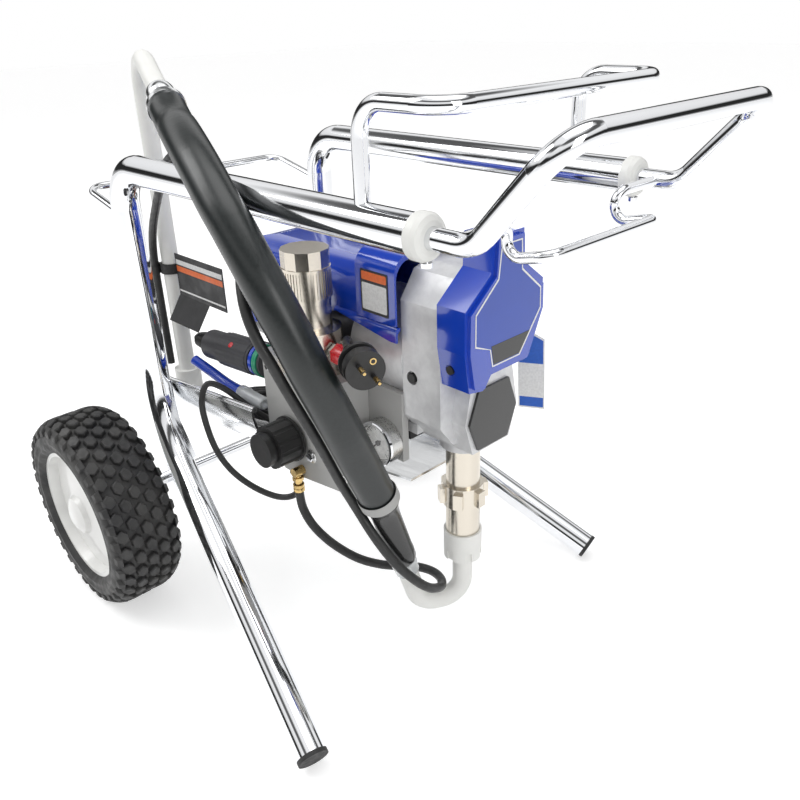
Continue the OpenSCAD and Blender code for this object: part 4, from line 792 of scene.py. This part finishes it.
def make_world():
    """Plain light all round. Metal sees a white room with a few dark panels, and the camera sees white."""
    world = bpy.data.worlds.new("studio")
    bpy.context.scene.world = world
    world.use_nodes = True
    nodes, links = world.node_tree.nodes, world.node_tree.links
    nodes.clear()

    def math_node(kind, a, b=0.0):
        node = nodes.new("ShaderNodeMath")
        node.operation = kind
        for socket, value in zip(node.inputs, (a, b)):
            if isinstance(value, (int, float)):
                socket.default_value = value
            else:
                links.new(value, socket)
        return node.outputs[0]

    direction = nodes.new("ShaderNodeTexCoord").outputs["Generated"]
    split = nodes.new("ShaderNodeSeparateXYZ")
    links.new(direction, split.inputs[0])
    height = nodes.new("ShaderNodeValToRGB")
    stops = height.color_ramp.elements
    stops[0].position, stops[0].color = 0.0, (0.5, 0.5, 0.5, 1)
    stops[1].position, stops[1].color = 1.0, (1, 1, 1, 1)
    for place, level in ((0.49, 0.5), (0.52, 0.03), (0.62, 0.02), (0.66, 0.85), (0.78, 1.0), (0.82, 0.12),
                         (0.88, 0.1), (0.92, 1.0)):
        stop = stops.new(place)
        stop.color = (level, level, level, 1)
    links.new(math_node("MULTIPLY_ADD", split.outputs[2], 0.5), height.inputs[0])
    height.inputs[0].links[0].from_node.inputs[2].default_value = 0.5
    path = nodes.new("ShaderNodeLightPath")
    soft = nodes.new("ShaderNodeBackground")
    soft.inputs["Color"].default_value = (1, 1, 1, 1)
    soft.inputs["Strength"].default_value = 0.62
    room = nodes.new("ShaderNodeBackground")
    links.new(height.outputs["Color"], room.inputs["Color"])
    room.inputs["Strength"].default_value = 1.0
    white = nodes.new("ShaderNodeBackground")
    white.inputs["Color"].default_value = (1, 1, 1, 1)
    white.inputs["Strength"].default_value = 1.0
    glossy = nodes.new("ShaderNodeMixShader")
    links.new(path.outputs["Is Glossy Ray"], glossy.inputs[0])
    links.new(soft.outputs[0], glossy.inputs[1])
    links.new(room.outputs[0], glossy.inputs[2])
    seen = nodes.new("ShaderNodeMixShader")
    links.new(math_node("MAXIMUM", path.outputs["Is Camera Ray"], path.outputs["Is Transmission Ray"]),
              seen.inputs[0])
    links.new(glossy.outputs[0], seen.inputs[1])
    links.new(white.outputs[0], seen.inputs[2])
    out = nodes.new("ShaderNodeOutputWorld")
    links.new(seen.outputs[0], out.inputs[0])


def make_floor():
    """A pale floor that reads white to the camera and to metal, and keeps the shadow."""
    mesh = bpy.data.meshes.new("floor")
    bm = bmesh.new()
    bmesh.ops.create_grid(bm, x_segments=1, y_segments=1, size=14)
    bm.to_mesh(mesh)
    bm.free()
    floor = bpy.data.objects.new("floor", mesh)
    bpy.context.scene.collection.objects.link(floor)
    floor.location.z = -0.0005
    s = Shader("floor", (0.82, 0.82, 0.82), 0.6)
    s.rough_by(s.noise(3, 2), 0.55, 0.65)
    path = s.nodes.new("ShaderNodeLightPath")
    seen = s.nodes.new("ShaderNodeMath")
    seen.operation = "MAXIMUM"
    s.links.new(path.outputs["Is Camera Ray"], seen.inputs[0])
    s.links.new(path.outputs["Is Glossy Ray"], seen.inputs[1])
    through = s.nodes.new("ShaderNodeMath")
    through.operation = "MAXIMUM"
    s.links.new(seen.outputs[0], through.inputs[0])
    s.links.new(path.outputs["Is Transmission Ray"], through.inputs[1])
    glow = s.nodes.new("ShaderNodeMath")
    glow.operation = "MULTIPLY"
    s.links.new(through.outputs[0], glow.inputs[0])
    glow.inputs[1].default_value = 0.48
    s.surface.inputs["Emission Color"].default_value = (1, 1, 1, 1)
    s.links.new(glow.outputs[0], s.surface.inputs["Emission Strength"])
    floor.data.materials.append(s.material)


def make_lights():
    area_light("key", (-1.6, -1.5, 2.6), (0, 0, 0.3), (1.6, 1.6), 34)
    area_light("top", (0.2, 0.3, 3.0), (0, 0, 0.3), (2.0, 2.0), 20)
    area_light("side", (2.4, -0.4, 1.4), (0, 0, 0.35), (0.9, 1.6), 14)


make_world()
make_floor()
make_lights()
bpy.context.scene.view_settings.view_transform = "Standard"
